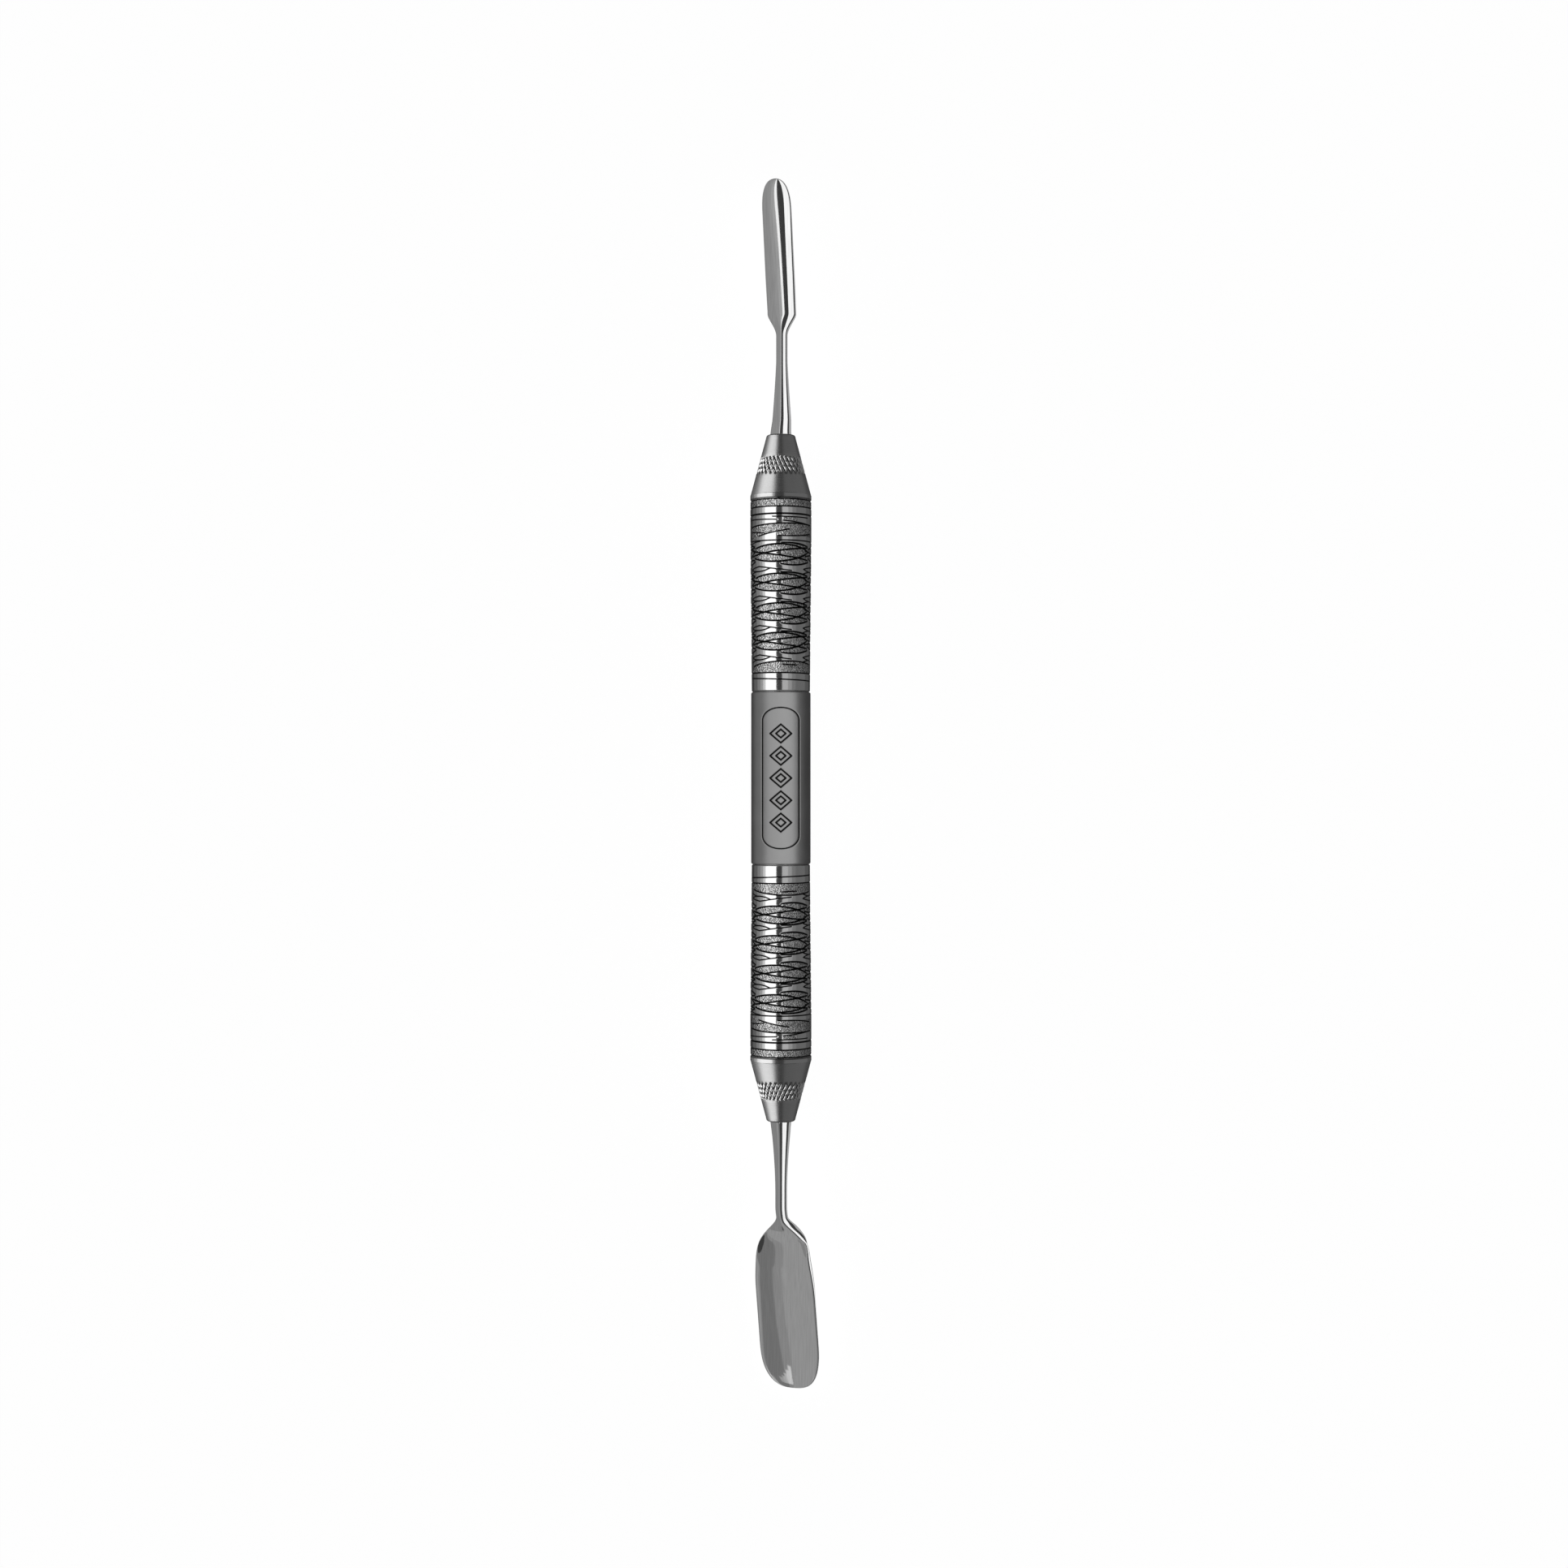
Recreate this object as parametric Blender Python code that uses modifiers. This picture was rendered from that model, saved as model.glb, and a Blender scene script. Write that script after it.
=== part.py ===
"""Double-ended cuticle pusher: a hollow steel grip with a narrow and a wide blade held by screw-on nuts.

The tool lies along Y with the narrow blade at +Y, X to the right and +Z up. The origin is on the
grip's axis, halfway between the two blade tips. Every end is built in its own frame, where +Y runs
outward from the middle of the grip, and the wide end is that frame turned half a turn about Z.
"""

import math

import bmesh
import bpy
from mathutils import Matrix

MM = 0.001

# Clearances.
PRESS_GAP = 0.05 * MM
RUNNING_GAP = 0.05 * MM
THREAD_GAP = 0.14 * MM
COLLAR_GAP = 0.34 * MM
COLLAR_SINK_GAP = 0.5 * MM
KEY_CORNER_GAP = 0.03 * MM
SEAL_ROOM = 0.06 * MM
SEAL_INNER_ROOM = 0.13 * MM

# Walls and steps, from the blade's shank out to the grip's surface.
SHANK_RADIUS = 1.68 * MM
SHANK_STEP = 0.38 * MM
NUT_SPIGOT_WALL = 1.1 * MM
THREAD_DEPTH = 0.45 * MM
PLUG_WALL = 0.86 * MM
TUBE_WALL = 0.68 * MM
TUBE_FLARE = 0.23 * MM
BAND_STEP = 0.1 * MM
BAND_SPIGOT_WALL = 1.0 * MM
NUT_MOUTH_WALL = 0.5 * MM
SEAL_WIRE_RADIUS = 0.32 * MM

# Lengths along the grip's axis.
BAND_LENGTH = 27.4 * MM
SPIGOT_LENGTH = 8.0 * MM
TUBE_LENGTH = 30.3 * MM
TUBE_PLAIN_LENGTH = 7.0 * MM
SOCKET_LENGTH = 5.4 * MM
THREAD_PITCH = 1.0 * MM
THREAD_LENGTH = 3.5 * MM
THREAD_FADE = 0.3 * MM
NUT_LENGTH = 10.45 * MM
NUT_LAND_LENGTH = 0.8 * MM
COUNTERBORE_DEPTH = 1.5 * MM
COLLAR_LENGTH = 1.25 * MM
KEY_LENGTH = 4.8 * MM

# Edges and the knurled finger ring.
EDGE_CHAMFER = 0.12 * MM
BAND_EDGE_RADIUS = 0.35 * MM
NUT_MOUTH_EDGE = 0.35 * MM
NUT_LAND_STEP = 0.03 * MM
KNURL_START = 4.07 * MM
KNURL_LENGTH = 2.75 * MM
KNURL_DEPTH = 0.16 * MM
KNURL_ROWS = 8

# How finely the round pieces are cut.
TUBE_SIDES = 32
NUT_SIDES = 48
PLUG_SIDES = 24
SMALL_SIDES = 20
BLADE_SIDES = 20
THREAD_STEPS_PER_TURN = 6
SAME_RADIUS = 0.01 * MM

# Radii that follow from the walls and clearances.
TANG_RADIUS = SHANK_RADIUS - SHANK_STEP
KEY_HALF_SIDE = (TANG_RADIUS - KEY_CORNER_GAP) / math.sqrt(2)
NUT_BORE_RADIUS = TANG_RADIUS + RUNNING_GAP
NUT_MOUTH_BORE_RADIUS = SHANK_RADIUS + RUNNING_GAP
NUT_MOUTH_RADIUS = NUT_MOUTH_BORE_RADIUS + NUT_MOUTH_WALL
THREAD_ROOT_RADIUS = NUT_BORE_RADIUS + NUT_SPIGOT_WALL
PLUG_BORE_RADIUS = THREAD_ROOT_RADIUS + THREAD_GAP
COLLAR_RADIUS = PLUG_BORE_RADIUS - COLLAR_GAP
PLUG_RADIUS = PLUG_BORE_RADIUS + THREAD_DEPTH + PLUG_WALL
TUBE_BORE_RADIUS = PLUG_RADIUS + PRESS_GAP
TUBE_WAIST_RADIUS = TUBE_BORE_RADIUS + TUBE_WALL
TUBE_END_RADIUS = TUBE_WAIST_RADIUS + TUBE_FLARE
BAND_RADIUS = TUBE_WAIST_RADIUS + BAND_STEP
SPIGOT_RADIUS = TUBE_BORE_RADIUS - PRESS_GAP
BAND_BORE_RADIUS = SPIGOT_RADIUS - BAND_SPIGOT_WALL
SEAL_RING_RADIUS = THREAD_ROOT_RADIUS + THREAD_DEPTH + SEAL_INNER_ROOM + SEAL_WIRE_RADIUS
SEAL_RECESS_RADIUS = SEAL_RING_RADIUS + SEAL_WIRE_RADIUS + SEAL_ROOM
SEAL_RECESS_DEPTH = 2 * SEAL_WIRE_RADIUS + SEAL_ROOM

# Places along an end's axis, counted outward from the middle of the grip.
TUBE_START = BAND_LENGTH / 2 + PRESS_GAP
TUBE_END = TUBE_START + TUBE_LENGTH
NUT_BACK = TUBE_END + RUNNING_GAP
NUT_MOUTH = NUT_BACK + NUT_LENGTH
THREAD_START = NUT_BACK - THREAD_LENGTH
COLLAR_OUTER_END = THREAD_START - RUNNING_GAP
COLLAR_INNER_END = COLLAR_OUTER_END - COLLAR_LENGTH
SOCKET_OUTER_END = COLLAR_INNER_END - COLLAR_SINK_GAP
PLUG_INNER_END = SOCKET_OUTER_END - SOCKET_LENGTH
KEY_OUTER_END = COLLAR_INNER_END - PRESS_GAP
KEY_INNER_END = KEY_OUTER_END - KEY_LENGTH
SHANK_START = NUT_MOUTH - COUNTERBORE_DEPTH + RUNNING_GAP

# The blades. Lengths run outward from the nut's mouth, x is to the right and z up in the tool's
# frame, and roll raises the right-hand edge. The ridge is the highest line along the face, as a
# share of the half width to the right. The bowl is a steeper wall round the face's start, and the
# lip is the right-hand edge, which droops there.
NARROW_BLADE = {
    "reach": 40.15 * MM,
    "neck_radius": 0.905 * MM,
    "neck_at": 11.76 * MM,
    "taper_power": 1.2,
    "shoulder_start": 15.7 * MM,
    "shoulder_end": 19.04 * MM,
    "shoulder_power": 0.84,
    "shoulder_half_width": 2.27 * MM,
    "half_width": 2.315 * MM,
    "widest_from": 24.94 * MM,
    "tip_length": 5.24 * MM,
    "tip_power": 2.5,
    "crown": 1.04 * MM,
    "tip_crown": 0.7 * MM,
    "crown_hold": 2.0,
    "ridge_at": 0.41,
    "ridge_power": 1.4,
    "belly": 0.32 * MM,
    "tip_belly": 0.16 * MM,
    "dish": 0.0,
    "bowl": 0.0,
    "bowl_length": 4.0 * MM,
    "lip_width": 0.3 * MM,
    "lip_end_width": 0.3 * MM,
    "lip_drop": 0.0,
    "lip_end_drop": 0.0,
    "lip_length": 9.0 * MM,
    "face_start": 19.5 * MM,
    "roll": 0.0,
    "shank_shift": 0.163 * MM,
    "blade_shift": 0.0,
    "lean_start": 19.2 * MM,
    "lean": -0.049,
    "tip_skew": 0.0,
    "rise": 2.6 * MM,
    "curl": 0.0,
    "curl_length": 1.0 * MM,
}
WIDE_BLADE = {
    "reach": 43.02 * MM,
    "neck_radius": 0.93 * MM,
    "neck_at": 11.41 * MM,
    "taper_power": 1.8,
    "shoulder_start": 15.3 * MM,
    "shoulder_end": 22.5 * MM,
    "shoulder_power": 1.8,
    "shoulder_half_width": 4.26 * MM,
    "half_width": 4.95 * MM,
    "widest_from": 27.04 * MM,
    "tip_length": 7.46 * MM,
    "tip_power": 2.74,
    "crown": 0.26 * MM,
    "tip_crown": 0.16 * MM,
    "crown_hold": 1.0,
    "ridge_at": 0.0,
    "ridge_power": 10.0,
    "belly": 0.55 * MM,
    "tip_belly": 0.26 * MM,
    "dish": 0.36 * MM,
    "bowl": 0.4 * MM,
    "bowl_length": 4.0 * MM,
    "lip_width": 1.1 * MM,
    "lip_end_width": 0.6 * MM,
    "lip_drop": 1.2 * MM,
    "lip_end_drop": 0.33 * MM,
    "lip_length": 9.0 * MM,
    "face_start": 19.5 * MM,
    "roll": math.radians(17),
    "shank_shift": 0.05 * MM,
    "blade_shift": 0.274 * MM,
    "lean_start": 22.05 * MM,
    "lean": 0.072,
    "tip_skew": 0.243 * MM,
    "rise": -2.75 * MM,
    "curl": 0.9 * MM,
    "curl_length": 10.0 * MM,
}
SHOULDER_TO_SPREAD = 3.0 * MM
TIP_SKEW_LENGTH = 4.5 * MM
RISE_START = 5.0 * MM
SHANK_SHIFT_LENGTH = 3.0 * MM
BLADE_SHIFT_LENGTH = 3.0 * MM
LIP_ONSET_LENGTH = 2.0 * MM
LIP_SETTLING_POWER = 6
LIP_LEAST_SHARE = 0.4
LIP_POWER = 2
BOWL_WALL_POWER = 10
EDGE_THICKNESS_SHARE = 0.3
SHANK_STATIONS = 6
SHOULDER_STATIONS = 10
BLADE_STATIONS = 8
TIP_STATIONS = 8
TIP_FLAT = 0.02 * MM

# The grip's middle sits off the origin by half the difference of the two blades' reach.
MIDDLE_Y = (WIDE_BLADE["reach"] - NARROW_BLADE["reach"]) / 2

# Finish of each kind of piece: colour, metallic and roughness.
POLISHED_STEEL = ((0.62, 0.62, 0.62, 1.0), 1.0, 0.12)
SATIN_STEEL = ((0.42, 0.42, 0.42, 1.0), 1.0, 0.38)
TURNED_STEEL = ((0.5, 0.5, 0.5, 1.0), 1.0, 0.3)
DARK_RUBBER = ((0.03, 0.03, 0.03, 1.0), 0.0, 0.6)

QUARTER_TURN = math.pi / 2


def clear_scene():
    """Removes the scene's objects."""
    for old in list(bpy.data.objects):
        bpy.data.objects.remove(old, do_unlink=True)


def new_collection(name):
    """A collection linked to the scene."""
    collection = bpy.data.collections.new(name)
    bpy.context.scene.collection.children.link(collection)
    return collection


def new_material(name, finish):
    """A Principled material of that finish."""
    colour, metallic, roughness = finish
    material = bpy.data.materials.new(name)
    material.use_nodes = True
    shader = material.node_tree.nodes["Principled BSDF"]
    shader.inputs["Base Color"].default_value = colour
    shader.inputs["Metallic"].default_value = metallic
    shader.inputs["Roughness"].default_value = roughness
    material.diffuse_color = colour
    return material


def smooth_step(value):
    """0 below 0, 1 above 1 and a smooth ramp between them."""
    value = min(1.0, max(0.0, value))
    return value * value * (3 - 2 * value)


def blend(start, end, share):
    """The value that share of the way from start to end."""
    return start + (end - start) * share


def arc(centre, radius, first, last, steps):
    """Points (radius, height) on an arc of a profile, angles in degrees from the outward direction."""
    points = []
    for step in range(steps + 1):
        angle = math.radians(blend(first, last, step / steps))
        points.append((centre[0] + radius * math.cos(angle), centre[1] + radius * math.sin(angle)))
    return points


def turned_mesh(name, profile, sides, closed=True):
    """Turns a profile of (radius, height) points about Z with a Screw modifier and applies it.

    The profile starts at its highest outer point and runs down the outer side.
    """
    mesh = bpy.data.meshes.new(name)
    shape = bmesh.new()
    verts = [shape.verts.new((radius, 0.0, height)) for radius, height in profile]
    for one, two in zip(verts, verts[1:]):
        shape.edges.new((one, two))
    if closed:
        shape.edges.new((verts[-1], verts[0]))
    shape.to_mesh(mesh)
    shape.free()
    lathe = bpy.data.objects.new(name + "_profile", mesh)
    bpy.context.scene.collection.objects.link(lathe)
    screw = lathe.modifiers.new("turn", "SCREW")
    screw.steps = sides
    screw.render_steps = sides
    screw.use_merge_vertices = True
    screw.merge_threshold = 0.00001
    graph = bpy.context.evaluated_depsgraph_get()
    turned = bpy.data.meshes.new_from_object(lathe.evaluated_get(graph))
    turned.name = name
    bpy.data.objects.remove(lathe, do_unlink=True)
    return turned


def move_radially(mesh, sides, new_radius):
    """Moves each vertex out or in to new_radius(radius, angle, column, height); None leaves it."""
    for vertex in mesh.vertices:
        radius = math.hypot(vertex.co.x, vertex.co.y)
        angle = math.atan2(vertex.co.y, vertex.co.x)
        column = round(angle / (2 * math.pi) * sides) % sides
        wanted = new_radius(radius, angle, column, vertex.co.z)
        if wanted is not None:
            vertex.co.x = wanted * math.cos(angle)
            vertex.co.y = wanted * math.sin(angle)


def add_piece(name, mesh, finish, collection, parent, lathe_axis=True):
    """Links a mesh as a named piece of an end; a turned piece is laid from Z onto the end's Y."""
    mesh.materials.clear()
    mesh.materials.append(new_material(name + "_finish", finish))
    mesh.shade_smooth()
    mesh.set_sharp_from_angle(angle=math.radians(35))
    piece = bpy.data.objects.new(name, mesh)
    collection.objects.link(piece)
    piece.parent = parent
    if lathe_axis:
        piece.rotation_euler = (-QUARTER_TURN, 0.0, 0.0)
    return piece


def thread_height(angle, height):
    """How far a right-hand thread stands above its root, as a smooth wave of one pitch."""
    phase = height / THREAD_PITCH - angle / (2 * math.pi)
    return THREAD_DEPTH * (1 + math.cos(2 * math.pi * phase)) / 2


def thread_rows(top, bottom):
    """Heights of the rows that carry a thread, from the top down, both ends included."""
    rows = max(2, round((top - bottom) / THREAD_PITCH * THREAD_STEPS_PER_TURN))
    return [blend(top, bottom, row / rows) for row in range(rows + 1)]


def tube_radius(height):
    """Outer radius of a half tube: plain near the nut, then a slow taper to its waist."""
    taper_length = TUBE_LENGTH - TUBE_PLAIN_LENGTH
    share = max(0.0, TUBE_END - TUBE_PLAIN_LENGTH - height) / taper_length
    return blend(TUBE_END_RADIUS, TUBE_WAIST_RADIUS, share)


def grip_tube_mesh():
    """One half of the hollow grip, open at both ends, with a flat side downwards."""
    mouth_flat = TUBE_BORE_RADIUS + EDGE_CHAMFER
    profile = [
        (mouth_flat, TUBE_END),
        (TUBE_END_RADIUS - EDGE_CHAMFER, TUBE_END),
        (TUBE_END_RADIUS, TUBE_END - EDGE_CHAMFER),
        (TUBE_END_RADIUS, TUBE_END - TUBE_PLAIN_LENGTH),
        (tube_radius(TUBE_START + EDGE_CHAMFER), TUBE_START + EDGE_CHAMFER),
        (TUBE_WAIST_RADIUS - EDGE_CHAMFER, TUBE_START),
        (mouth_flat, TUBE_START),
        (TUBE_BORE_RADIUS, TUBE_START + EDGE_CHAMFER),
        (TUBE_BORE_RADIUS, TUBE_END - EDGE_CHAMFER),
    ]
    return lay_flat_side_down(turned_mesh("grip_tube", profile, TUBE_SIDES))


def lay_flat_side_down(mesh):
    """Turns a mesh of TUBE_SIDES sides by half a side, which brings a flat under its axis."""
    mesh.transform(Matrix.Rotation(math.pi / TUBE_SIDES, 4, "Z"))
    return mesh


def label_band_mesh():
    """The middle band with its two spigots and a bore right through."""
    half = BAND_LENGTH / 2
    spigot_end = half + SPIGOT_LENGTH
    edge_centre = (BAND_RADIUS - BAND_EDGE_RADIUS, half - BAND_EDGE_RADIUS)
    upper = [
        (BAND_BORE_RADIUS, spigot_end),
        (SPIGOT_RADIUS - EDGE_CHAMFER, spigot_end),
        (SPIGOT_RADIUS, spigot_end - EDGE_CHAMFER),
        (SPIGOT_RADIUS, half),
    ]
    upper += arc(edge_centre, BAND_EDGE_RADIUS, 90, 0, 3)
    lower = [(radius, -height) for radius, height in reversed(upper)]
    return lay_flat_side_down(turned_mesh("label_band", upper + lower, TUBE_SIDES))


def thread_plug_mesh():
    """The pressed-in end plug: an internal thread, a plain bore for the collar and a solid web."""
    top = TUBE_END - RUNNING_GAP
    thread_bottom = THREAD_START - 2 * THREAD_FADE
    profile = [
        (PLUG_RADIUS - EDGE_CHAMFER, top),
        (PLUG_RADIUS, top - EDGE_CHAMFER),
        (PLUG_RADIUS, PLUG_INNER_END + EDGE_CHAMFER),
        (PLUG_RADIUS - EDGE_CHAMFER, PLUG_INNER_END),
        (0.0, PLUG_INNER_END),
    ]
    bore = [(0.0, SOCKET_OUTER_END), (PLUG_BORE_RADIUS, SOCKET_OUTER_END)]
    bore += [(PLUG_BORE_RADIUS, height) for height in reversed(thread_rows(top, thread_bottom))]
    mesh = turned_mesh("thread_plug", profile + bore, PLUG_SIDES, closed=False)
    close_profile_seam(mesh, profile[0], bore[-1])

    def threaded(radius, angle, _column, height):
        if abs(radius - PLUG_BORE_RADIUS) > SAME_RADIUS or height < thread_bottom:
            return None
        run_in = smooth_step((height - thread_bottom) / THREAD_FADE)
        return PLUG_BORE_RADIUS + thread_height(angle, height) * run_in

    move_radially(mesh, PLUG_SIDES, threaded)
    return mesh


def close_profile_seam(mesh, first, last):
    """Bridges the two open rims that an unclosed profile leaves at its ends."""
    shape = bmesh.new()
    shape.from_mesh(mesh)
    rims = [edge for edge in shape.edges if edge.is_boundary]
    if rims:
        bmesh.ops.bridge_loops(shape, edges=rims)
    bmesh.ops.recalc_face_normals(shape, faces=shape.faces)
    shape.to_mesh(mesh)
    shape.free()


def cone_radius(height):
    """Outer radius of the nut's cone."""
    foot = NUT_BACK + NUT_LAND_LENGTH
    share = (height - foot) / (NUT_MOUTH - foot)
    return blend(TUBE_END_RADIUS - NUT_LAND_STEP, NUT_MOUTH_RADIUS, share)


def nut_mesh():
    """The conical nut: counterbored mouth, knurled ring, short land, seal recess and threaded spigot."""
    knurl_bottom = NUT_BACK + KNURL_START
    edge_angle = math.degrees(math.atan2(TUBE_END_RADIUS - NUT_MOUTH_RADIUS, NUT_LENGTH))
    edge_centre = (cone_radius(NUT_MOUTH - NUT_MOUTH_EDGE) - NUT_MOUTH_EDGE, NUT_MOUTH - NUT_MOUTH_EDGE)
    outer = arc(edge_centre, NUT_MOUTH_EDGE, 90, edge_angle, 3)
    for row in range(KNURL_ROWS + 1):
        height = knurl_bottom + KNURL_LENGTH * (1 - row / KNURL_ROWS)
        outer.append((cone_radius(height), height))
    outer += [
        (cone_radius(NUT_BACK + NUT_LAND_LENGTH), NUT_BACK + NUT_LAND_LENGTH),
        (TUBE_END_RADIUS, NUT_BACK + NUT_LAND_LENGTH - NUT_LAND_STEP),
        (TUBE_END_RADIUS, NUT_BACK + EDGE_CHAMFER),
        (TUBE_END_RADIUS - EDGE_CHAMFER, NUT_BACK),
        (SEAL_RECESS_RADIUS, NUT_BACK),
        (SEAL_RECESS_RADIUS, NUT_BACK + SEAL_RECESS_DEPTH),
        (THREAD_ROOT_RADIUS, NUT_BACK + SEAL_RECESS_DEPTH),
    ]
    thread = [(THREAD_ROOT_RADIUS, height) for height in thread_rows(NUT_BACK, THREAD_START)]
    bore = [
        (NUT_BORE_RADIUS, THREAD_START),
        (NUT_BORE_RADIUS, NUT_MOUTH - COUNTERBORE_DEPTH),
        (NUT_MOUTH_BORE_RADIUS, NUT_MOUTH - COUNTERBORE_DEPTH),
        (NUT_MOUTH_BORE_RADIUS, NUT_MOUTH),
    ]
    mesh = turned_mesh("cone_nut", outer + thread + bore, NUT_SIDES)
    row_height = KNURL_LENGTH / KNURL_ROWS

    def worked(radius, angle, column, height):
        if abs(radius - THREAD_ROOT_RADIUS) < SAME_RADIUS and height < NUT_BACK + SAME_RADIUS:
            run_in = smooth_step((height - THREAD_START) / THREAD_FADE)
            run_out = smooth_step((NUT_BACK - height) / THREAD_FADE)
            return THREAD_ROOT_RADIUS + thread_height(angle, height) * run_in * run_out
        row = (height - knurl_bottom) / row_height
        inside = 0.5 < row < KNURL_ROWS - 0.5 and abs(radius - cone_radius(height)) < SAME_RADIUS
        if inside and (round(row) + column) % 2:
            return radius - KNURL_DEPTH
        return None

    move_radially(mesh, NUT_SIDES, worked)
    return mesh


def collar_mesh():
    """The ring pressed on the tang behind the nut, which keeps the nut on the blade."""
    bore = TANG_RADIUS + PRESS_GAP
    profile = [
        (bore, COLLAR_OUTER_END),
        (COLLAR_RADIUS - EDGE_CHAMFER, COLLAR_OUTER_END),
        (COLLAR_RADIUS, COLLAR_OUTER_END - EDGE_CHAMFER),
        (COLLAR_RADIUS, COLLAR_INNER_END + EDGE_CHAMFER),
        (COLLAR_RADIUS - EDGE_CHAMFER, COLLAR_INNER_END),
        (bore, COLLAR_INNER_END),
    ]
    return turned_mesh("tang_collar", profile, SMALL_SIDES)


def seal_mesh():
    """The round rubber ring in the nut's back face."""
    height = NUT_BACK + SEAL_RECESS_DEPTH - SEAL_ROOM / 2 - SEAL_WIRE_RADIUS
    wire_sides = 8
    profile = arc((SEAL_RING_RADIUS, height), SEAL_WIRE_RADIUS, 90, 90 - 360, wire_sides)[:-1]
    return turned_mesh("nut_seal", profile, SMALL_SIDES)


def shoulder_share(blade, at):
    """0 on the round shank, 1 where the shoulder has spread into the blade."""
    run = (at - blade["shoulder_start"]) / (blade["shoulder_end"] - blade["shoulder_start"])
    run = min(1.0, max(0.0, run))
    return smooth_step(1 - (1 - run) ** blade["shoulder_power"])


def blade_half_width(blade, at):
    """Half width of the shank or blade at a length from the nut's mouth."""
    spread_from = blade["shoulder_start"] + SHOULDER_TO_SPREAD
    spread = smooth_step((at - spread_from) / (blade["widest_from"] - spread_from))
    width = blend(shank_radius(blade, at), blade["shoulder_half_width"], shoulder_share(blade, at))
    width += (blade["half_width"] - blade["shoulder_half_width"]) * spread
    return width * tip_share(blade, at)


def shank_radius(blade, at):
    """Radius of the round shank, which tapers to its neck."""
    share = min(1.0, max(0.0, at / blade["neck_at"]))
    return blend(blade["neck_radius"], SHANK_RADIUS, (1 - share) ** blade["taper_power"])


def tip_share(blade, at):
    """How much of its width the blade still has on the way round its tip."""
    run = (at - blade["reach"] + blade["tip_length"]) / blade["tip_length"]
    if run <= 0:
        return 1.0
    return max(0.0, 1 - min(1.0, run) ** blade["tip_power"]) ** (1 / blade["tip_power"])


def fade_along_face(blade, at, length):
    """1 up to the face's start, then down to 0 over that length."""
    return min(1.0, max(0.0, 1 - (at - blade["face_start"]) / length))


def lip_shape(blade, at, half_width):
    """The drooping lip's width as a share of the half width, and how far its edge drops."""
    onset = at - blade["shoulder_start"]
    run = min(1.0, max(0.0, onset / (blade["face_start"] - blade["shoulder_start"])))
    settled = run**LIP_SETTLING_POWER
    fade = fade_along_face(blade, at, blade["lip_length"])
    width = blend(blade["lip_width"], blade["lip_end_width"], settled)
    width *= blend(LIP_LEAST_SHARE, 1.0, fade)
    drop = blend(blade["lip_drop"], blade["lip_end_drop"], settled)
    return min(0.9, width / half_width), drop * smooth_step(onset / LIP_ONSET_LENGTH) * fade


def face_height(blade, across):
    """Height of the face from 0 at its edges to 1 on its ridge, across running from -1 to 1."""
    ridge = blade["ridge_at"]
    from_ridge = (across - ridge) / (1 - ridge) if across > ridge else (ridge - across) / (1 + ridge)
    return math.sqrt(max(0.0, 1 - from_ridge ** blade["ridge_power"]))


def blade_section(blade, at):
    """The ring of (x, z) points of the shank or blade at a length from the nut's mouth."""
    half_width = blade_half_width(blade, at)
    flat = shoulder_share(blade, at)
    tip = tip_share(blade, at)
    radius = shank_radius(blade, at)
    along = min(1.0, max(0.0, (at - blade["shoulder_end"]) / (blade["reach"] - blade["shoulder_end"])))
    edge = blend(EDGE_THICKNESS_SHARE, 1.0, tip)
    crown = blend(blade["crown"], blade["tip_crown"], along ** blade["crown_hold"]) * edge
    belly = blend(radius, blend(blade["belly"], blade["tip_belly"], along) * edge, flat)
    dish = blade["dish"] * flat * tip
    bowl = blade["bowl"] * flat * tip * fade_along_face(blade, at, blade["bowl_length"])
    lip_share, lip_drop = lip_shape(blade, at, half_width)
    points = []
    for side in range(BLADE_SIDES):
        angle = 2 * math.pi * side / BLADE_SIDES
        across = math.cos(angle)
        if math.sin(angle) > 0:
            z = blend(radius * math.sin(angle), crown * face_height(blade, across), flat)
        else:
            z = belly * math.sin(angle)
        z -= dish * (1 - across**2) + bowl * (1 - across**BOWL_WALL_POWER)
        z -= lip_drop * max(0.0, (across - 1 + lip_share) / lip_share) ** LIP_POWER
        points.append((half_width * across, z))
    return roll_and_place(blade, at, points)


def blade_centre(blade, at):
    """Where the blade's centreline is: x to the right and z up, from the nut's axis."""
    x = blade["shank_shift"] * smooth_step(at / SHANK_SHIFT_LENGTH)
    shift_from = blade["shoulder_start"] - BLADE_SHIFT_LENGTH / 2
    x += blade["blade_shift"] * smooth_step((at - shift_from) / BLADE_SHIFT_LENGTH)
    x += blade["lean"] * max(0.0, at - blade["lean_start"])
    skew = max(0.0, at - blade["reach"] + TIP_SKEW_LENGTH) / TIP_SKEW_LENGTH
    x += blade["tip_skew"] * skew**2
    z = blade["rise"] * smooth_step((at - RISE_START) / (blade["reach"] - RISE_START))
    curl = max(0.0, at - blade["reach"] + blade["curl_length"]) / blade["curl_length"]
    return x, z + blade["curl"] * curl**2


def roll_and_place(blade, at, points):
    """Rolls a section, fully from the shank's neck on, and moves it onto the centreline."""
    centre_x, centre_z = blade_centre(blade, at)
    roll = blade["roll"] * smooth_step(at / blade["neck_at"])
    placed = []
    for x, z in points:
        across = x * math.cos(roll) - z * math.sin(roll)
        up = x * math.sin(roll) + z * math.cos(roll)
        placed.append((centre_x + across, centre_z + up))
    return placed


def round_section(radius):
    """A circle of (x, z) points."""
    step = 2 * math.pi / BLADE_SIDES
    return [(radius * math.cos(step * n), radius * math.sin(step * n)) for n in range(BLADE_SIDES)]


def square_section(half_side):
    """A square of (x, z) points with as many points as a circle."""
    points = []
    for x, z in round_section(1.0):
        grow = half_side / max(abs(x), abs(z))
        points.append((x * grow, z * grow))
    return points


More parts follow.
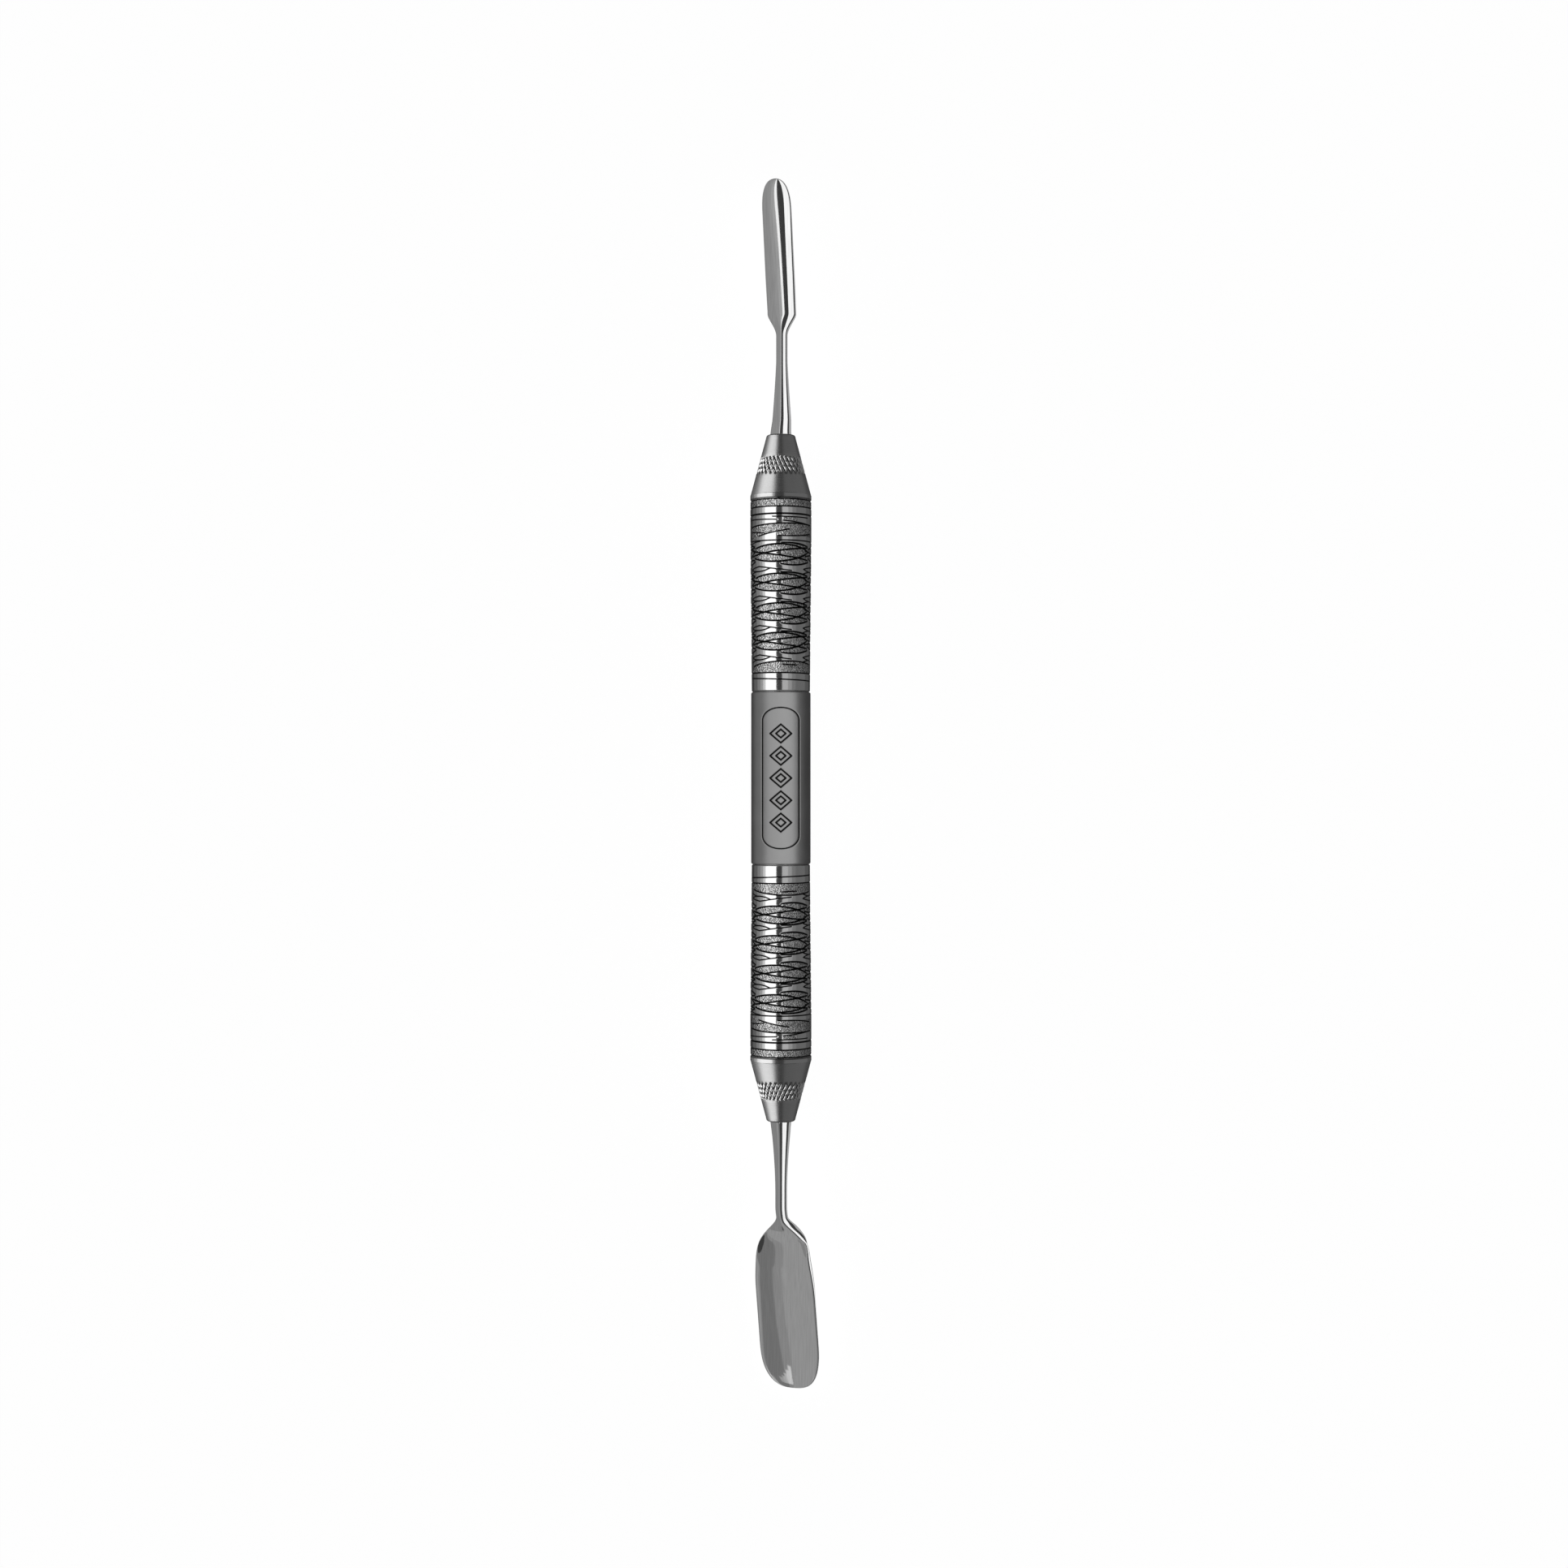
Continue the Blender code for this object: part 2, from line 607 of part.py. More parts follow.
def blade_stations(blade):
    """Lengths from the nut's mouth at which a section is set."""
    tip_from = blade["reach"] - blade["tip_length"]
    stations = [blend(0, blade["shoulder_start"], n / SHANK_STATIONS) for n in range(1, SHANK_STATIONS)]
    for n in range(SHOULDER_STATIONS):
        stations.append(blend(blade["shoulder_start"], blade["shoulder_end"], n / (SHOULDER_STATIONS - 1)))
    for n in range(1, BLADE_STATIONS):
        stations.append(blend(blade["shoulder_end"], tip_from, n / BLADE_STATIONS))
    for n in range(TIP_STATIONS):
        stations.append(tip_from + blade["tip_length"] * math.sin(QUARTER_TURN * n / TIP_STATIONS))
    stations.append(blade["reach"] - TIP_FLAT)
    return stations


def loft(name, sections):
    """A closed solid through (height along Y, ring of (x, z) points) sections, with a point at the tip."""
    shape = bmesh.new()
    rings = []
    for height, points in sections:
        rings.append([shape.verts.new((x, height, z)) for x, z in points])
    for ring, following in zip(rings, rings[1:]):
        for n in range(len(ring)):
            beside = (n + 1) % len(ring)
            shape.faces.new((ring[n], following[n], following[beside], ring[beside]))
    shape.faces.new(rings[0])
    shape.faces.new(list(reversed(rings[-1])))
    bmesh.ops.recalc_face_normals(shape, faces=shape.faces)
    bmesh.ops.triangulate(shape, faces=shape.faces)
    mesh = bpy.data.meshes.new(name)
    shape.to_mesh(mesh)
    shape.free()
    return mesh


def blade_mesh(name, blade, right):
    """A blade with its shank and tang, in its end's frame; right is +1 or -1 for the tool's right."""
    sections = [
        (KEY_INNER_END, square_section(KEY_HALF_SIDE)),
        (KEY_OUTER_END, square_section(KEY_HALF_SIDE)),
        (KEY_OUTER_END + PRESS_GAP, round_section(TANG_RADIUS)),
        (SHANK_START - PRESS_GAP, round_section(TANG_RADIUS)),
        (SHANK_START, round_section(SHANK_RADIUS)),
        (NUT_MOUTH, round_section(SHANK_RADIUS)),
    ]
    sections += [(NUT_MOUTH + at, blade_section(blade, at)) for at in blade_stations(blade)]
    mesh = loft(name, sections)
    if right < 0:
        for vertex in mesh.vertices:
            vertex.co.x = -vertex.co.x
        mesh.flip_normals()
    return mesh


def cut_square_socket(plug, cutters):
    """Cuts the square socket for the blade's key through the plug's web."""
    side = 2 * (KEY_HALF_SIDE + RUNNING_GAP)
    reach = SOCKET_LENGTH + COLLAR_SINK_GAP
    shape = bmesh.new()
    bmesh.ops.create_cube(shape, size=1.0)
    bmesh.ops.scale(shape, verts=shape.verts, vec=(side, side, reach))
    middle = (PLUG_INNER_END + SOCKET_OUTER_END) / 2
    bmesh.ops.translate(shape, verts=shape.verts, vec=(0.0, 0.0, middle))
    mesh = bpy.data.meshes.new(plug.name + "_socket")
    shape.to_mesh(mesh)
    shape.free()
    cutter = bpy.data.objects.new(plug.name + "_socket_cutter", mesh)
    cutters.objects.link(cutter)
    cutter.parent = plug.parent
    cutter.rotation_euler = plug.rotation_euler
    cutter.hide_render = True
    cutter.display_type = "WIRE"
    cut = plug.modifiers.new("square_socket", "BOOLEAN")
    cut.operation = "DIFFERENCE"
    cut.solver = "EXACT"
    cut.object = cutter


def end_frame(name, turn, collection):
    """An empty at the middle of the grip whose +Y runs outward along the nut's joint axis."""
    empty = bpy.data.objects.new(name, None)
    collection.objects.link(empty)
    empty.location = (0.0, MIDDLE_Y, 0.0)
    empty.rotation_euler = (0.0, 0.0, turn)
    return empty


def build_end(side, blade, turn, right, parts, cutters):
    """All pieces of one end of the tool."""
    frame = end_frame(side + "_end_frame", turn, parts)
    add_piece("grip_tube_" + side, grip_tube_mesh(), POLISHED_STEEL, parts, frame)
    plug = add_piece("thread_plug_" + side, thread_plug_mesh(), TURNED_STEEL, parts, frame)
    cut_square_socket(plug, cutters)
    add_piece("cone_nut_" + side, nut_mesh(), SATIN_STEEL, parts, frame)
    add_piece("nut_seal_" + side, seal_mesh(), DARK_RUBBER, parts, frame)
    add_piece("tang_collar_" + side, collar_mesh(), TURNED_STEEL, parts, frame)
    shape = blade_mesh(side + "_blade", blade, right)
    add_piece(side + "_blade", shape, POLISHED_STEEL, parts, frame, lathe_axis=False)


def build():
    """The whole tool."""
    clear_scene()
    parts = new_collection("cuticle_pusher")
    cutters = new_collection("cutters")
    middle = end_frame("grip_frame", 0.0, parts)
    add_piece("label_band", label_band_mesh(), SATIN_STEEL, parts, middle)
    build_end("narrow", NARROW_BLADE, 0.0, 1, parts, cutters)
    build_end("wide", WIDE_BLADE, math.pi, -1, parts, cutters)


build()
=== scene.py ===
"""Looks of a double-ended cuticle pusher: engraved grip, knurled nuts, label band, two blades."""

import math

import bmesh
import bpy
import numpy as np
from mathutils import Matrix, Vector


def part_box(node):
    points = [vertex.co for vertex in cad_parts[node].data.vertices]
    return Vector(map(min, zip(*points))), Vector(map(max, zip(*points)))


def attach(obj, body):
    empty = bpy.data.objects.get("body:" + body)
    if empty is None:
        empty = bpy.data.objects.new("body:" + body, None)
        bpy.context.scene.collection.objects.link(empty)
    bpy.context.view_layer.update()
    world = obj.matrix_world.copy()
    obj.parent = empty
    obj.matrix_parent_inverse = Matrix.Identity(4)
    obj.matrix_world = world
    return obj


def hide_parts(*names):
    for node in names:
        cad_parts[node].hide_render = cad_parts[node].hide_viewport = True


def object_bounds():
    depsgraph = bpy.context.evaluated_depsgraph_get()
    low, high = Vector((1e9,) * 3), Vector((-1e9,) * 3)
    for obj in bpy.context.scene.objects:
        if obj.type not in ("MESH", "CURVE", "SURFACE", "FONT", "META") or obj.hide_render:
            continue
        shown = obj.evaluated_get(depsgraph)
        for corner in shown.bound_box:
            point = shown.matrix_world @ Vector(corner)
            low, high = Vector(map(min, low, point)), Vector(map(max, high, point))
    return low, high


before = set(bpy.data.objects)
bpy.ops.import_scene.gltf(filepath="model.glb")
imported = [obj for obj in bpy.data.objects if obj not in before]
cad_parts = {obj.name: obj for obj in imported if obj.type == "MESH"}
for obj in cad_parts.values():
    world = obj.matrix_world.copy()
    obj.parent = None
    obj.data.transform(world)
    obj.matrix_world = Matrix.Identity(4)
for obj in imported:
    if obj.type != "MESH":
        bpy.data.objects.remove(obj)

CAD_LOW, CAD_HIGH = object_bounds()
MM = 0.001

# ---------------------------------------------------------------------------------------------
# Places along the tool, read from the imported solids. "Out" counts from the grip's middle outward.
# ---------------------------------------------------------------------------------------------
BAND_LOW, BAND_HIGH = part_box("label_band")
TUBE_LOW, TUBE_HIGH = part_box("grip_tube_narrow")
NUT_LOW, NUT_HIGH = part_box("cone_nut_narrow")
MIDDLE_Y = (BAND_LOW.y + BAND_HIGH.y) / 2
TUBE_START = TUBE_LOW.y - MIDDLE_Y
TUBE_END = TUBE_HIGH.y - MIDDLE_Y
SEAM_GAP = 0.05 * MM
BAND_HALF = TUBE_START - SEAM_GAP
SPIGOT_END = BAND_HIGH.y - MIDDLE_Y
NUT_BACK = TUBE_END + SEAM_GAP
NUT_MOUTH = NUT_HIGH.y - MIDDLE_Y
THREAD_START = NUT_LOW.y - MIDDLE_Y

# Radii and steps of the turned pieces.
TUBE_END_RADIUS = 4.86 * MM
TUBE_WAIST_RADIUS = 4.63 * MM
TUBE_BORE_RADIUS = 3.95 * MM
TUBE_PLAIN_LENGTH = 7.0 * MM
BAND_RADIUS = 4.73 * MM
SPIGOT_RADIUS = 3.9 * MM
BAND_BORE_RADIUS = 2.9 * MM
BAND_EDGE_RADIUS = 0.35 * MM
NUT_LAND_LENGTH = 0.8 * MM
NUT_LAND_STEP = 0.03 * MM
NUT_LAND_EASE = 0.05 * MM
NUT_FOOT = NUT_BACK + NUT_LAND_LENGTH
NUT_MOUTH_RADIUS = 2.23 * MM
NUT_MOUTH_EDGE = 0.35 * MM
NUT_MOUTH_BORE_RADIUS = 1.73 * MM
NUT_BORE_RADIUS = 1.35 * MM
COUNTERBORE_DEPTH = 1.5 * MM
THREAD_ROOT_RADIUS = 2.45 * MM
THREAD_DEPTH = 0.45 * MM
THREAD_PITCH = 1.0 * MM
THREAD_FADE = 0.3 * MM
SEAL_RECESS_RADIUS = 3.73 * MM
SEAL_RECESS_DEPTH = 0.7 * MM
TANG_RADIUS = 1.3 * MM
SHANK_RADIUS = 1.68 * MM
KEY_HALF_SIDE = 0.898 * MM
EDGE_CHAMFER = 0.12 * MM
SEAM_REACH = 1.6 * EDGE_CHAMFER
KNURL_START = 4.07 * MM
KNURL_LENGTH = 2.75 * MM
KNURL_FROM = NUT_BACK + KNURL_START
KNURL_TO = KNURL_FROM + KNURL_LENGTH
KNURL_FADE = 0.12 * MM
KNURL_DEPTH = 0.26 * MM
KNURL_SHARPNESS = 1.05
KNURL_CROSS_SHARE = 0.6
KNURL_GROOVES = 30
KNURL_TWIST_LENGTH = 1.58 * MM

# How finely the surfaces are cut.
GRIP_SIDES = 208
GRIP_STEP = 0.072 * MM
BAND_SIDES = 288
BAND_STEP = 0.1 * MM
NUT_SIDES = 360
KNURL_STEP = 0.06 * MM
CONE_STEP = 0.4 * MM
THREAD_STEP = 0.08 * MM
BLADE_SIDES = 96
EDGE_ARC_STEPS = 6
SHANK_STEP = 0.6 * MM
SHOULDER_STEP = 0.18 * MM
FACE_STEP = 0.35 * MM
TIP_ROUNDS = 48
SKIN_TOLERANCE = 0.004 * MM


def smooth_step(value):
    """0 below 0, 1 above 1 and a smooth ramp between them; works on numbers and arrays."""
    value = np.clip(value, 0.0, 1.0)
    return value * value * (3 - 2 * value)


def blend(start, end, share):
    """The value that share of the way from start to end."""
    return start + (end - start) * share


def steps_between(start, end, step):
    """Evenly spaced values from start to end, both included, about a step apart."""
    count = max(1, round(abs(end - start) / step))
    return [blend(start, end, n / count) for n in range(count + 1)]


def arc(centre, radius, first, last, steps):
    """Points (radius, out) on an arc of a profile, angles in degrees from the outward direction."""
    points = []
    for n in range(steps + 1):
        angle = math.radians(blend(first, last, n / steps))
        points.append((centre[0] + radius * math.cos(angle), centre[1] + radius * math.sin(angle)))
    return points


# ---------------------------------------------------------------------------------------------
# Mesh helpers
# ---------------------------------------------------------------------------------------------
def turned(profile, sides):
    """Spins a closed profile of (radius, out) points round the grip's axis."""
    shape = bmesh.new()
    verts = [shape.verts.new((radius, out, 0.0)) for radius, out in profile]
    edges = [shape.edges.new(pair) for pair in zip(verts, verts[1:] + verts[:1])]
    bmesh.ops.spin(
        shape, geom=verts + edges, cent=(0, 0, 0), axis=(0, 1, 0), dvec=(0, 0, 0),
        angle=2 * math.pi, steps=sides, use_merge=True, use_normal_flip=False, use_duplicate=False,
    )
    bmesh.ops.recalc_face_normals(shape, faces=shape.faces)
    return shape


def finished_mesh(shape, name, sharp_angle=40):
    """The mesh of a bmesh, shaded smooth with its sharp edges kept."""
    mesh = bpy.data.meshes.new(name)
    shape.to_mesh(mesh)
    shape.free()
    mesh.shade_smooth()
    mesh.set_sharp_from_angle(angle=math.radians(sharp_angle))
    return mesh


def coordinates(mesh):
    """The vertices of a mesh as an array of rows (x, y, z)."""
    flat = np.empty(len(mesh.vertices) * 3)
    mesh.vertices.foreach_get("co", flat)
    return flat.reshape(-1, 3)


def set_coordinates(mesh, rows):
    """Moves the vertices of a mesh to those rows."""
    mesh.vertices.foreach_set("co", rows.reshape(-1))
    mesh.update()


def add_attribute(mesh, name, values):
    """Stores one number for each vertex, for the mesh's material."""
    attribute = mesh.attributes.new(name, "FLOAT", "POINT")
    attribute.data.foreach_set("value", values.astype(np.float32))


def cut_surface(mesh, outer_radius, relief):
    """Moves the outer skin of a turned mesh in or out by relief(angle, out), in metres."""
    rows = coordinates(mesh)
    radius = np.hypot(rows[:, 0], rows[:, 2])
    angle = np.arctan2(rows[:, 0], rows[:, 2])
    skin = np.abs(radius - outer_radius(rows[:, 1])) < SKIN_TOLERANCE
    height, marks = relief(angle, rows[:, 1])
    wanted = radius + np.where(skin, height, 0.0)
    rows[:, 0] = wanted * np.sin(angle)
    rows[:, 2] = wanted * np.cos(angle)
    set_coordinates(mesh, rows)
    for name, values in marks.items():
        add_attribute(mesh, name, np.where(skin, values, 0.0))


def place(mesh, end):
    """Moves a mesh to its end of the tool: end is +1 for the narrow end and -1 for the wide one."""
    rows = coordinates(mesh)
    rows[:, 1] = MIDDLE_Y + end * rows[:, 1]
    set_coordinates(mesh, rows)
    if end < 0:
        mesh.flip_normals()


def add_piece(name, mesh, material, body, replaced):
    """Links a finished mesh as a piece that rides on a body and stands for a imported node."""
    mesh.materials.clear()
    mesh.materials.append(material)
    piece = bpy.data.objects.new(name, mesh)
    bpy.context.scene.collection.objects.link(piece)
    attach(piece, body)
    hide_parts(replaced)
    return piece


# ---------------------------------------------------------------------------------------------
# The engraved grip
# ---------------------------------------------------------------------------------------------
# Engraved lines, each a parabola through three (degrees round from the top, mm of drop) points.
BRAID_DROP = 4.64 * MM
BRAID_TOPS = 4
FIRST_BRAID_OUT = 36.98 * MM
BRAID_PERIOD = 120.0
BRAID_LINES = {
    "upper_crest": ((-57, 0.83), (-12, 0.19), (60, 1.15)),
    "right_crest": ((0, -0.03), (25, 0.0), (62, 0.47)),
    "rising": ((-68, 2.02), (-8, 1.25), (62, 0.62)),
    "falling": ((-68, 1.12), (-8, 1.86), (62, 2.62)),
    "lower_trough": ((-59, 2.28), (-17, 2.92), (62, 1.35)),
    "right_trough": ((0, 3.28), (26, 3.45), (64, 2.82)),
}
LINK_LINES = (
    ((-46, 3.63), (-8, 4.08), (22, 4.35)),
    ((-72, 4.05), (-46, 4.42), (-20, 3.95)),
    ((48, 4.05), (62, 3.8), (76, 3.63)),
    ((-73, 4.8), (-62, 4.55), (-50, 4.38)),
)
# Rings and short arcs beyond the braids: ((degrees, mm out) x 3, line width in mm).
OUTER_FIELD_CREST = ((-76, 39.6), (0, 40.05), (74, 40.0))
OUTER_FIELD_FOOT = ((-48, 38.1), (-10, 38.75), (16, 39.15))
INNER_FIELD_TOP = ((-68, 17.6), (10, 18.42), (74, 17.95))
OUTER_LINES = (
    (((-180, 42.76), (0, 42.76), (180, 42.76)), 0.1),
    (((-180, 41.6), (0, 41.6), (180, 41.6)), 0.13),
    (((-16, 41.14), (20, 41.1), (62, 41.1)), 0.08),
    (((-90, 40.9), (-40, 40.75), (-6, 40.64)), 0.08),
    (((4, 40.5), (30, 40.3), (66, 40.0)), 0.08),
    (OUTER_FIELD_CREST, 0.1),
    (((-70, 38.85), (-52, 38.75), (-32, 38.55)), 0.08),
    (OUTER_FIELD_FOOT, 0.09),
    (((-6, 38.13), (22, 38.1), (70, 38.6)), 0.09),
    (((-180, 37.5), (0, 37.4), (180, 37.5)), 0.09),
    (((-74, 36.9), (-60, 37.15), (-42, 37.3)), 0.07),
    (INNER_FIELD_TOP, 0.1),
    (((2, 17.9), (16, 17.85), (34, 17.8)), 0.09),
    (((-180, 16.6), (0, 16.58), (180, 16.4)), 0.09),
    (((-90, 15.85), (0, 15.55), (90, 15.35)), 0.09),
    (((-180, 43.94), (0, 43.94), (180, 43.94)), 0.09),
)
LINE_WIDTH = 0.125 * MM
LINE_DEPTH = 0.09 * MM
LINE_FALL = 1.6
LINK_SHARE = 0.8
PEEN_DEPTH = 0.03 * MM
PEEN_LEAST = 0.4
PEEN_SPREAD = 1.2
PEEN_SEED = 7

# Where the pattern unit is cut, how far a braid's lines reach, and where the peened fields end, in
# degrees round, mm of drop and mm out.
BRAID_CUT = 66.0
BRAID_REACH = (-1.0, 5.4)
LEFT_FIELDS = (-58, 8)
RIGHT_FIELD_FROM = 2
SLIVERS_UNTIL = 20
FALLING_SLIVER = 0.12
CREST_SLIVER = 0.1
OUTER_RING_FROM = 42.8
OUTER_FIELD_REACH = 74
OUTER_FIELD_BEND = -6
OUTER_FIELD_FLAT_FOOT = 38.12
PATCH_DEGREES = (5, 32)
PATCH_OUT = (40.45, 41.0)
INNER_FIELD_REACH = 72
INNER_FIELD_FOOT = 16.6


def parabola(degrees, points):
    """The parabola through three (degrees, value) points."""
    (a, fa), (b, fb), (c, fc) = points
    value = fa * (degrees - b) * (degrees - c) / ((a - b) * (a - c))
    value = value + fb * (degrees - a) * (degrees - c) / ((b - a) * (b - c))
    return value + fc * (degrees - a) * (degrees - b) / ((c - a) * (c - b))


def line_mark(distance, width, inside):
    """1 on an engraved line's centre, falling to 0 at its sides and wherever inside is false."""
    return np.where(inside, np.exp(-((distance / width) ** 2) * LINE_FALL), 0.0)


def braid_position(degrees):
    """Degrees within the pattern unit, counted from where the unit is cut."""
    return (degrees + BRAID_CUT) % BRAID_PERIOD - BRAID_CUT


def braid_grooves(local, drop):
    """Mark of the engraved lines of one braid."""
    near = (drop > BRAID_REACH[0]) & (drop < BRAID_REACH[1])
    groove = np.zeros_like(drop)
    lines = [(points, 1.0) for points in BRAID_LINES.values()]
    lines += [(points, LINK_SHARE) for points in LINK_LINES]
    for points, share in lines:
        inside = near & (local >= points[0][0]) & (local <= points[2][0])
        distance = (drop - parabola(local, points)) * MM
        groove = np.maximum(groove, share * line_mark(distance, LINE_WIDTH * share, inside))
    return groove


def braid_fields(local, drop):
    """Mark of the peened fields of one braid."""
    lines = {name: parabola(local, points) for name, points in BRAID_LINES.items()}
    first = np.minimum(lines["rising"], lines["falling"])
    second = np.maximum(lines["rising"], lines["falling"])
    left = (local > LEFT_FIELDS[0]) & (local < LEFT_FIELDS[1])
    upper = left & (drop > lines["upper_crest"]) & (drop < first)
    lower = left & (drop > second) & (drop < lines["lower_trough"])
    right = (local > RIGHT_FIELD_FROM) & (drop > lines["right_crest"])
    right = right & (drop < lines["right_trough"])
    by_falling = np.abs(drop - lines["falling"] + FALLING_SLIVER) < FALLING_SLIVER
    by_crest = np.abs(drop - lines["upper_crest"] + CREST_SLIVER) < CREST_SLIVER
    slivers = (local < SLIVERS_UNTIL) & (by_falling | by_crest)
    return (upper | lower | (right & ~slivers)).astype(float)


def braid_marks(degrees, out):
    """Groove and peening marks of the repeated braids."""
    groove = np.zeros_like(out)
    peened = np.zeros_like(out)
    home = braid_position(degrees)
    for row in range(BRAID_TOPS):
        drop = (FIRST_BRAID_OUT - out) / MM - row * (BRAID_DROP / MM)
        for turn in (-1, 0, 1):
            groove = np.maximum(groove, braid_grooves(home + turn * BRAID_PERIOD, drop))
        peened = np.maximum(peened, braid_fields(home, drop))
    return groove, peened


def outer_fields(degrees, out_mm):
    """Mark of the peened fields beyond the braids: a ring, two wide fields and a small patch."""
    crest = parabola(degrees, OUTER_FIELD_CREST)
    curved_foot = parabola(degrees, OUTER_FIELD_FOOT)
    foot = np.where(degrees < OUTER_FIELD_BEND, curved_foot, OUTER_FIELD_FLAT_FOOT)
    outer = (np.abs(degrees) < OUTER_FIELD_REACH) & (out_mm < crest) & (out_mm > foot)
    patch = (degrees > PATCH_DEGREES[0]) & (degrees < PATCH_DEGREES[1])
    patch = patch & (out_mm > PATCH_OUT[0]) & (out_mm < PATCH_OUT[1])
    inner = (np.abs(degrees) < INNER_FIELD_REACH) & (out_mm > INNER_FIELD_FOOT)
    inner = inner & (out_mm < parabola(degrees, INNER_FIELD_TOP))
    return ((out_mm > OUTER_RING_FROM) | outer | patch | inner).astype(float)


def grip_relief(angle, out):
    """Height of the engraving and peening on a half grip, with the marks for its material."""
    degrees = np.degrees(angle)
    groove, peened = braid_marks(degrees, out)
    for points, width in OUTER_LINES:
        inside = (degrees >= points[0][0]) & (degrees <= points[2][0])
        distance = out - parabola(degrees, points) * MM
        groove = np.maximum(groove, line_mark(distance, width * MM, inside))
    peened = np.maximum(peened, outer_fields(degrees, out / MM))
    noise = np.random.default_rng(PEEN_SEED).random(out.shape)
    height = -LINE_DEPTH * groove - PEEN_DEPTH * peened * (PEEN_LEAST + PEEN_SPREAD * noise)
    return height, {"groove": groove, "peened": peened}


def tube_radius(out):
    """Outer radius of a half tube: plain near the nut, then a slow taper to its waist."""
    taper_from = TUBE_END - TUBE_PLAIN_LENGTH
    share = np.clip((taper_from - out) / (taper_from - TUBE_START), 0, 1)
    return blend(TUBE_END_RADIUS, TUBE_WAIST_RADIUS, share)


def grip_mesh(name):
    """Half of the grip: engraved skin, chamfered ends and a plain bore."""
    mouth = TUBE_BORE_RADIUS + EDGE_CHAMFER
    profile = [(mouth, TUBE_END), (TUBE_END_RADIUS - EDGE_CHAMFER, TUBE_END)]
    skin = steps_between(TUBE_END - EDGE_CHAMFER, TUBE_START + EDGE_CHAMFER, GRIP_STEP)
    profile += [(float(tube_radius(out)), out) for out in skin]
    profile += [
        (TUBE_WAIST_RADIUS - EDGE_CHAMFER, TUBE_START),
        (mouth, TUBE_START),
        (TUBE_BORE_RADIUS, TUBE_START + EDGE_CHAMFER),
        (TUBE_BORE_RADIUS, TUBE_END - EDGE_CHAMFER),
    ]
    mesh = finished_mesh(turned(profile, GRIP_SIDES), name, 75)
    cut_surface(mesh, tube_radius, grip_relief)
    return mesh


# ---------------------------------------------------------------------------------------------
# The label band
# ---------------------------------------------------------------------------------------------
LABEL_HALF_WIDTH = 3.15 * MM
LABEL_HALF_LENGTH = 11.1 * MM
LABEL_END_HEIGHT = 2.07 * MM
LABEL_LINE_WIDTH = 0.15 * MM
LABEL_LINE_DEPTH = 0.12 * MM
LOZENGE_COUNT = 5
LOZENGE_PITCH = 3.5 * MM
LOZENGE_HALF_LENGTH = 1.45 * MM
LOZENGE_HALF_WIDTH = 1.75 * MM
LOZENGE_SIZES = (1.0, 0.45)
LABEL_REACH_ANGLE = 1.2


def label_distance(across, along):
    """Distance from the label's outline, which has straight sides and half-round ends."""
    past = np.maximum(0.0, np.abs(along) - (LABEL_HALF_LENGTH - LABEL_END_HEIGHT))
    stretched = past * LABEL_HALF_WIDTH / LABEL_END_HEIGHT
    return np.abs(np.hypot(across, stretched) - LABEL_HALF_WIDTH)


def lozenge_distance(across, along):
    """Distance from the outlines of the row of lozenges on the label."""
    nearest = np.full_like(along, 1.0)
    for n in range(LOZENGE_COUNT):
        centre = (n - (LOZENGE_COUNT - 1) / 2) * LOZENGE_PITCH
        reach = np.abs(across) / LOZENGE_HALF_WIDTH + np.abs(along - centre) / LOZENGE_HALF_LENGTH
        scale = 1 / math.hypot(1 / LOZENGE_HALF_WIDTH, 1 / LOZENGE_HALF_LENGTH)
        for size in LOZENGE_SIZES:
            nearest = np.minimum(nearest, np.abs(reach - size) * scale)
    return nearest


def band_relief(angle, out):
    """Height of the engraved label on the band, with the marks for its material."""
    across = angle * BAND_RADIUS
    distance = np.minimum(label_distance(across, out), lozenge_distance(across, out))
    groove = line_mark(distance, LABEL_LINE_WIDTH, np.abs(angle) < LABEL_REACH_ANGLE)
    return -LABEL_LINE_DEPTH * groove, {"groove": groove}


def band_mesh(name):
    """The middle band with its spigots, rounded edges and engraved label."""
    edge_centre = (BAND_RADIUS - BAND_EDGE_RADIUS, BAND_HALF - BAND_EDGE_RADIUS)
    upper = [
        (BAND_BORE_RADIUS, SPIGOT_END),
        (SPIGOT_RADIUS - EDGE_CHAMFER, SPIGOT_END),
        (SPIGOT_RADIUS, SPIGOT_END - EDGE_CHAMFER),
        (SPIGOT_RADIUS, BAND_HALF),
    ]
    upper += arc(edge_centre, BAND_EDGE_RADIUS, 90, 0, EDGE_ARC_STEPS)
    lower = [(radius, -out) for radius, out in reversed(upper)]
    skin = steps_between(edge_centre[1], -edge_centre[1], BAND_STEP)[1:-1]
    profile = upper + [(BAND_RADIUS, out) for out in skin] + lower
    mesh = finished_mesh(turned(profile, BAND_SIDES), name, 60)
    cut_surface(mesh, lambda out: np.full_like(out, BAND_RADIUS), band_relief)
    return mesh


# ---------------------------------------------------------------------------------------------
# The conical nuts
# ---------------------------------------------------------------------------------------------
def cone_radius(out):
    """Outer radius of the nut's cone."""
    share = (out - NUT_FOOT) / (NUT_MOUTH - NUT_FOOT)
    return blend(TUBE_END_RADIUS - NUT_LAND_STEP, NUT_MOUTH_RADIUS, share)


def nut_radius(out):
    """Outer radius of the nut: a short polished land, then the cone."""
    return np.where(out < NUT_FOOT - NUT_LAND_STEP / 2, TUBE_END_RADIUS, cone_radius(out))


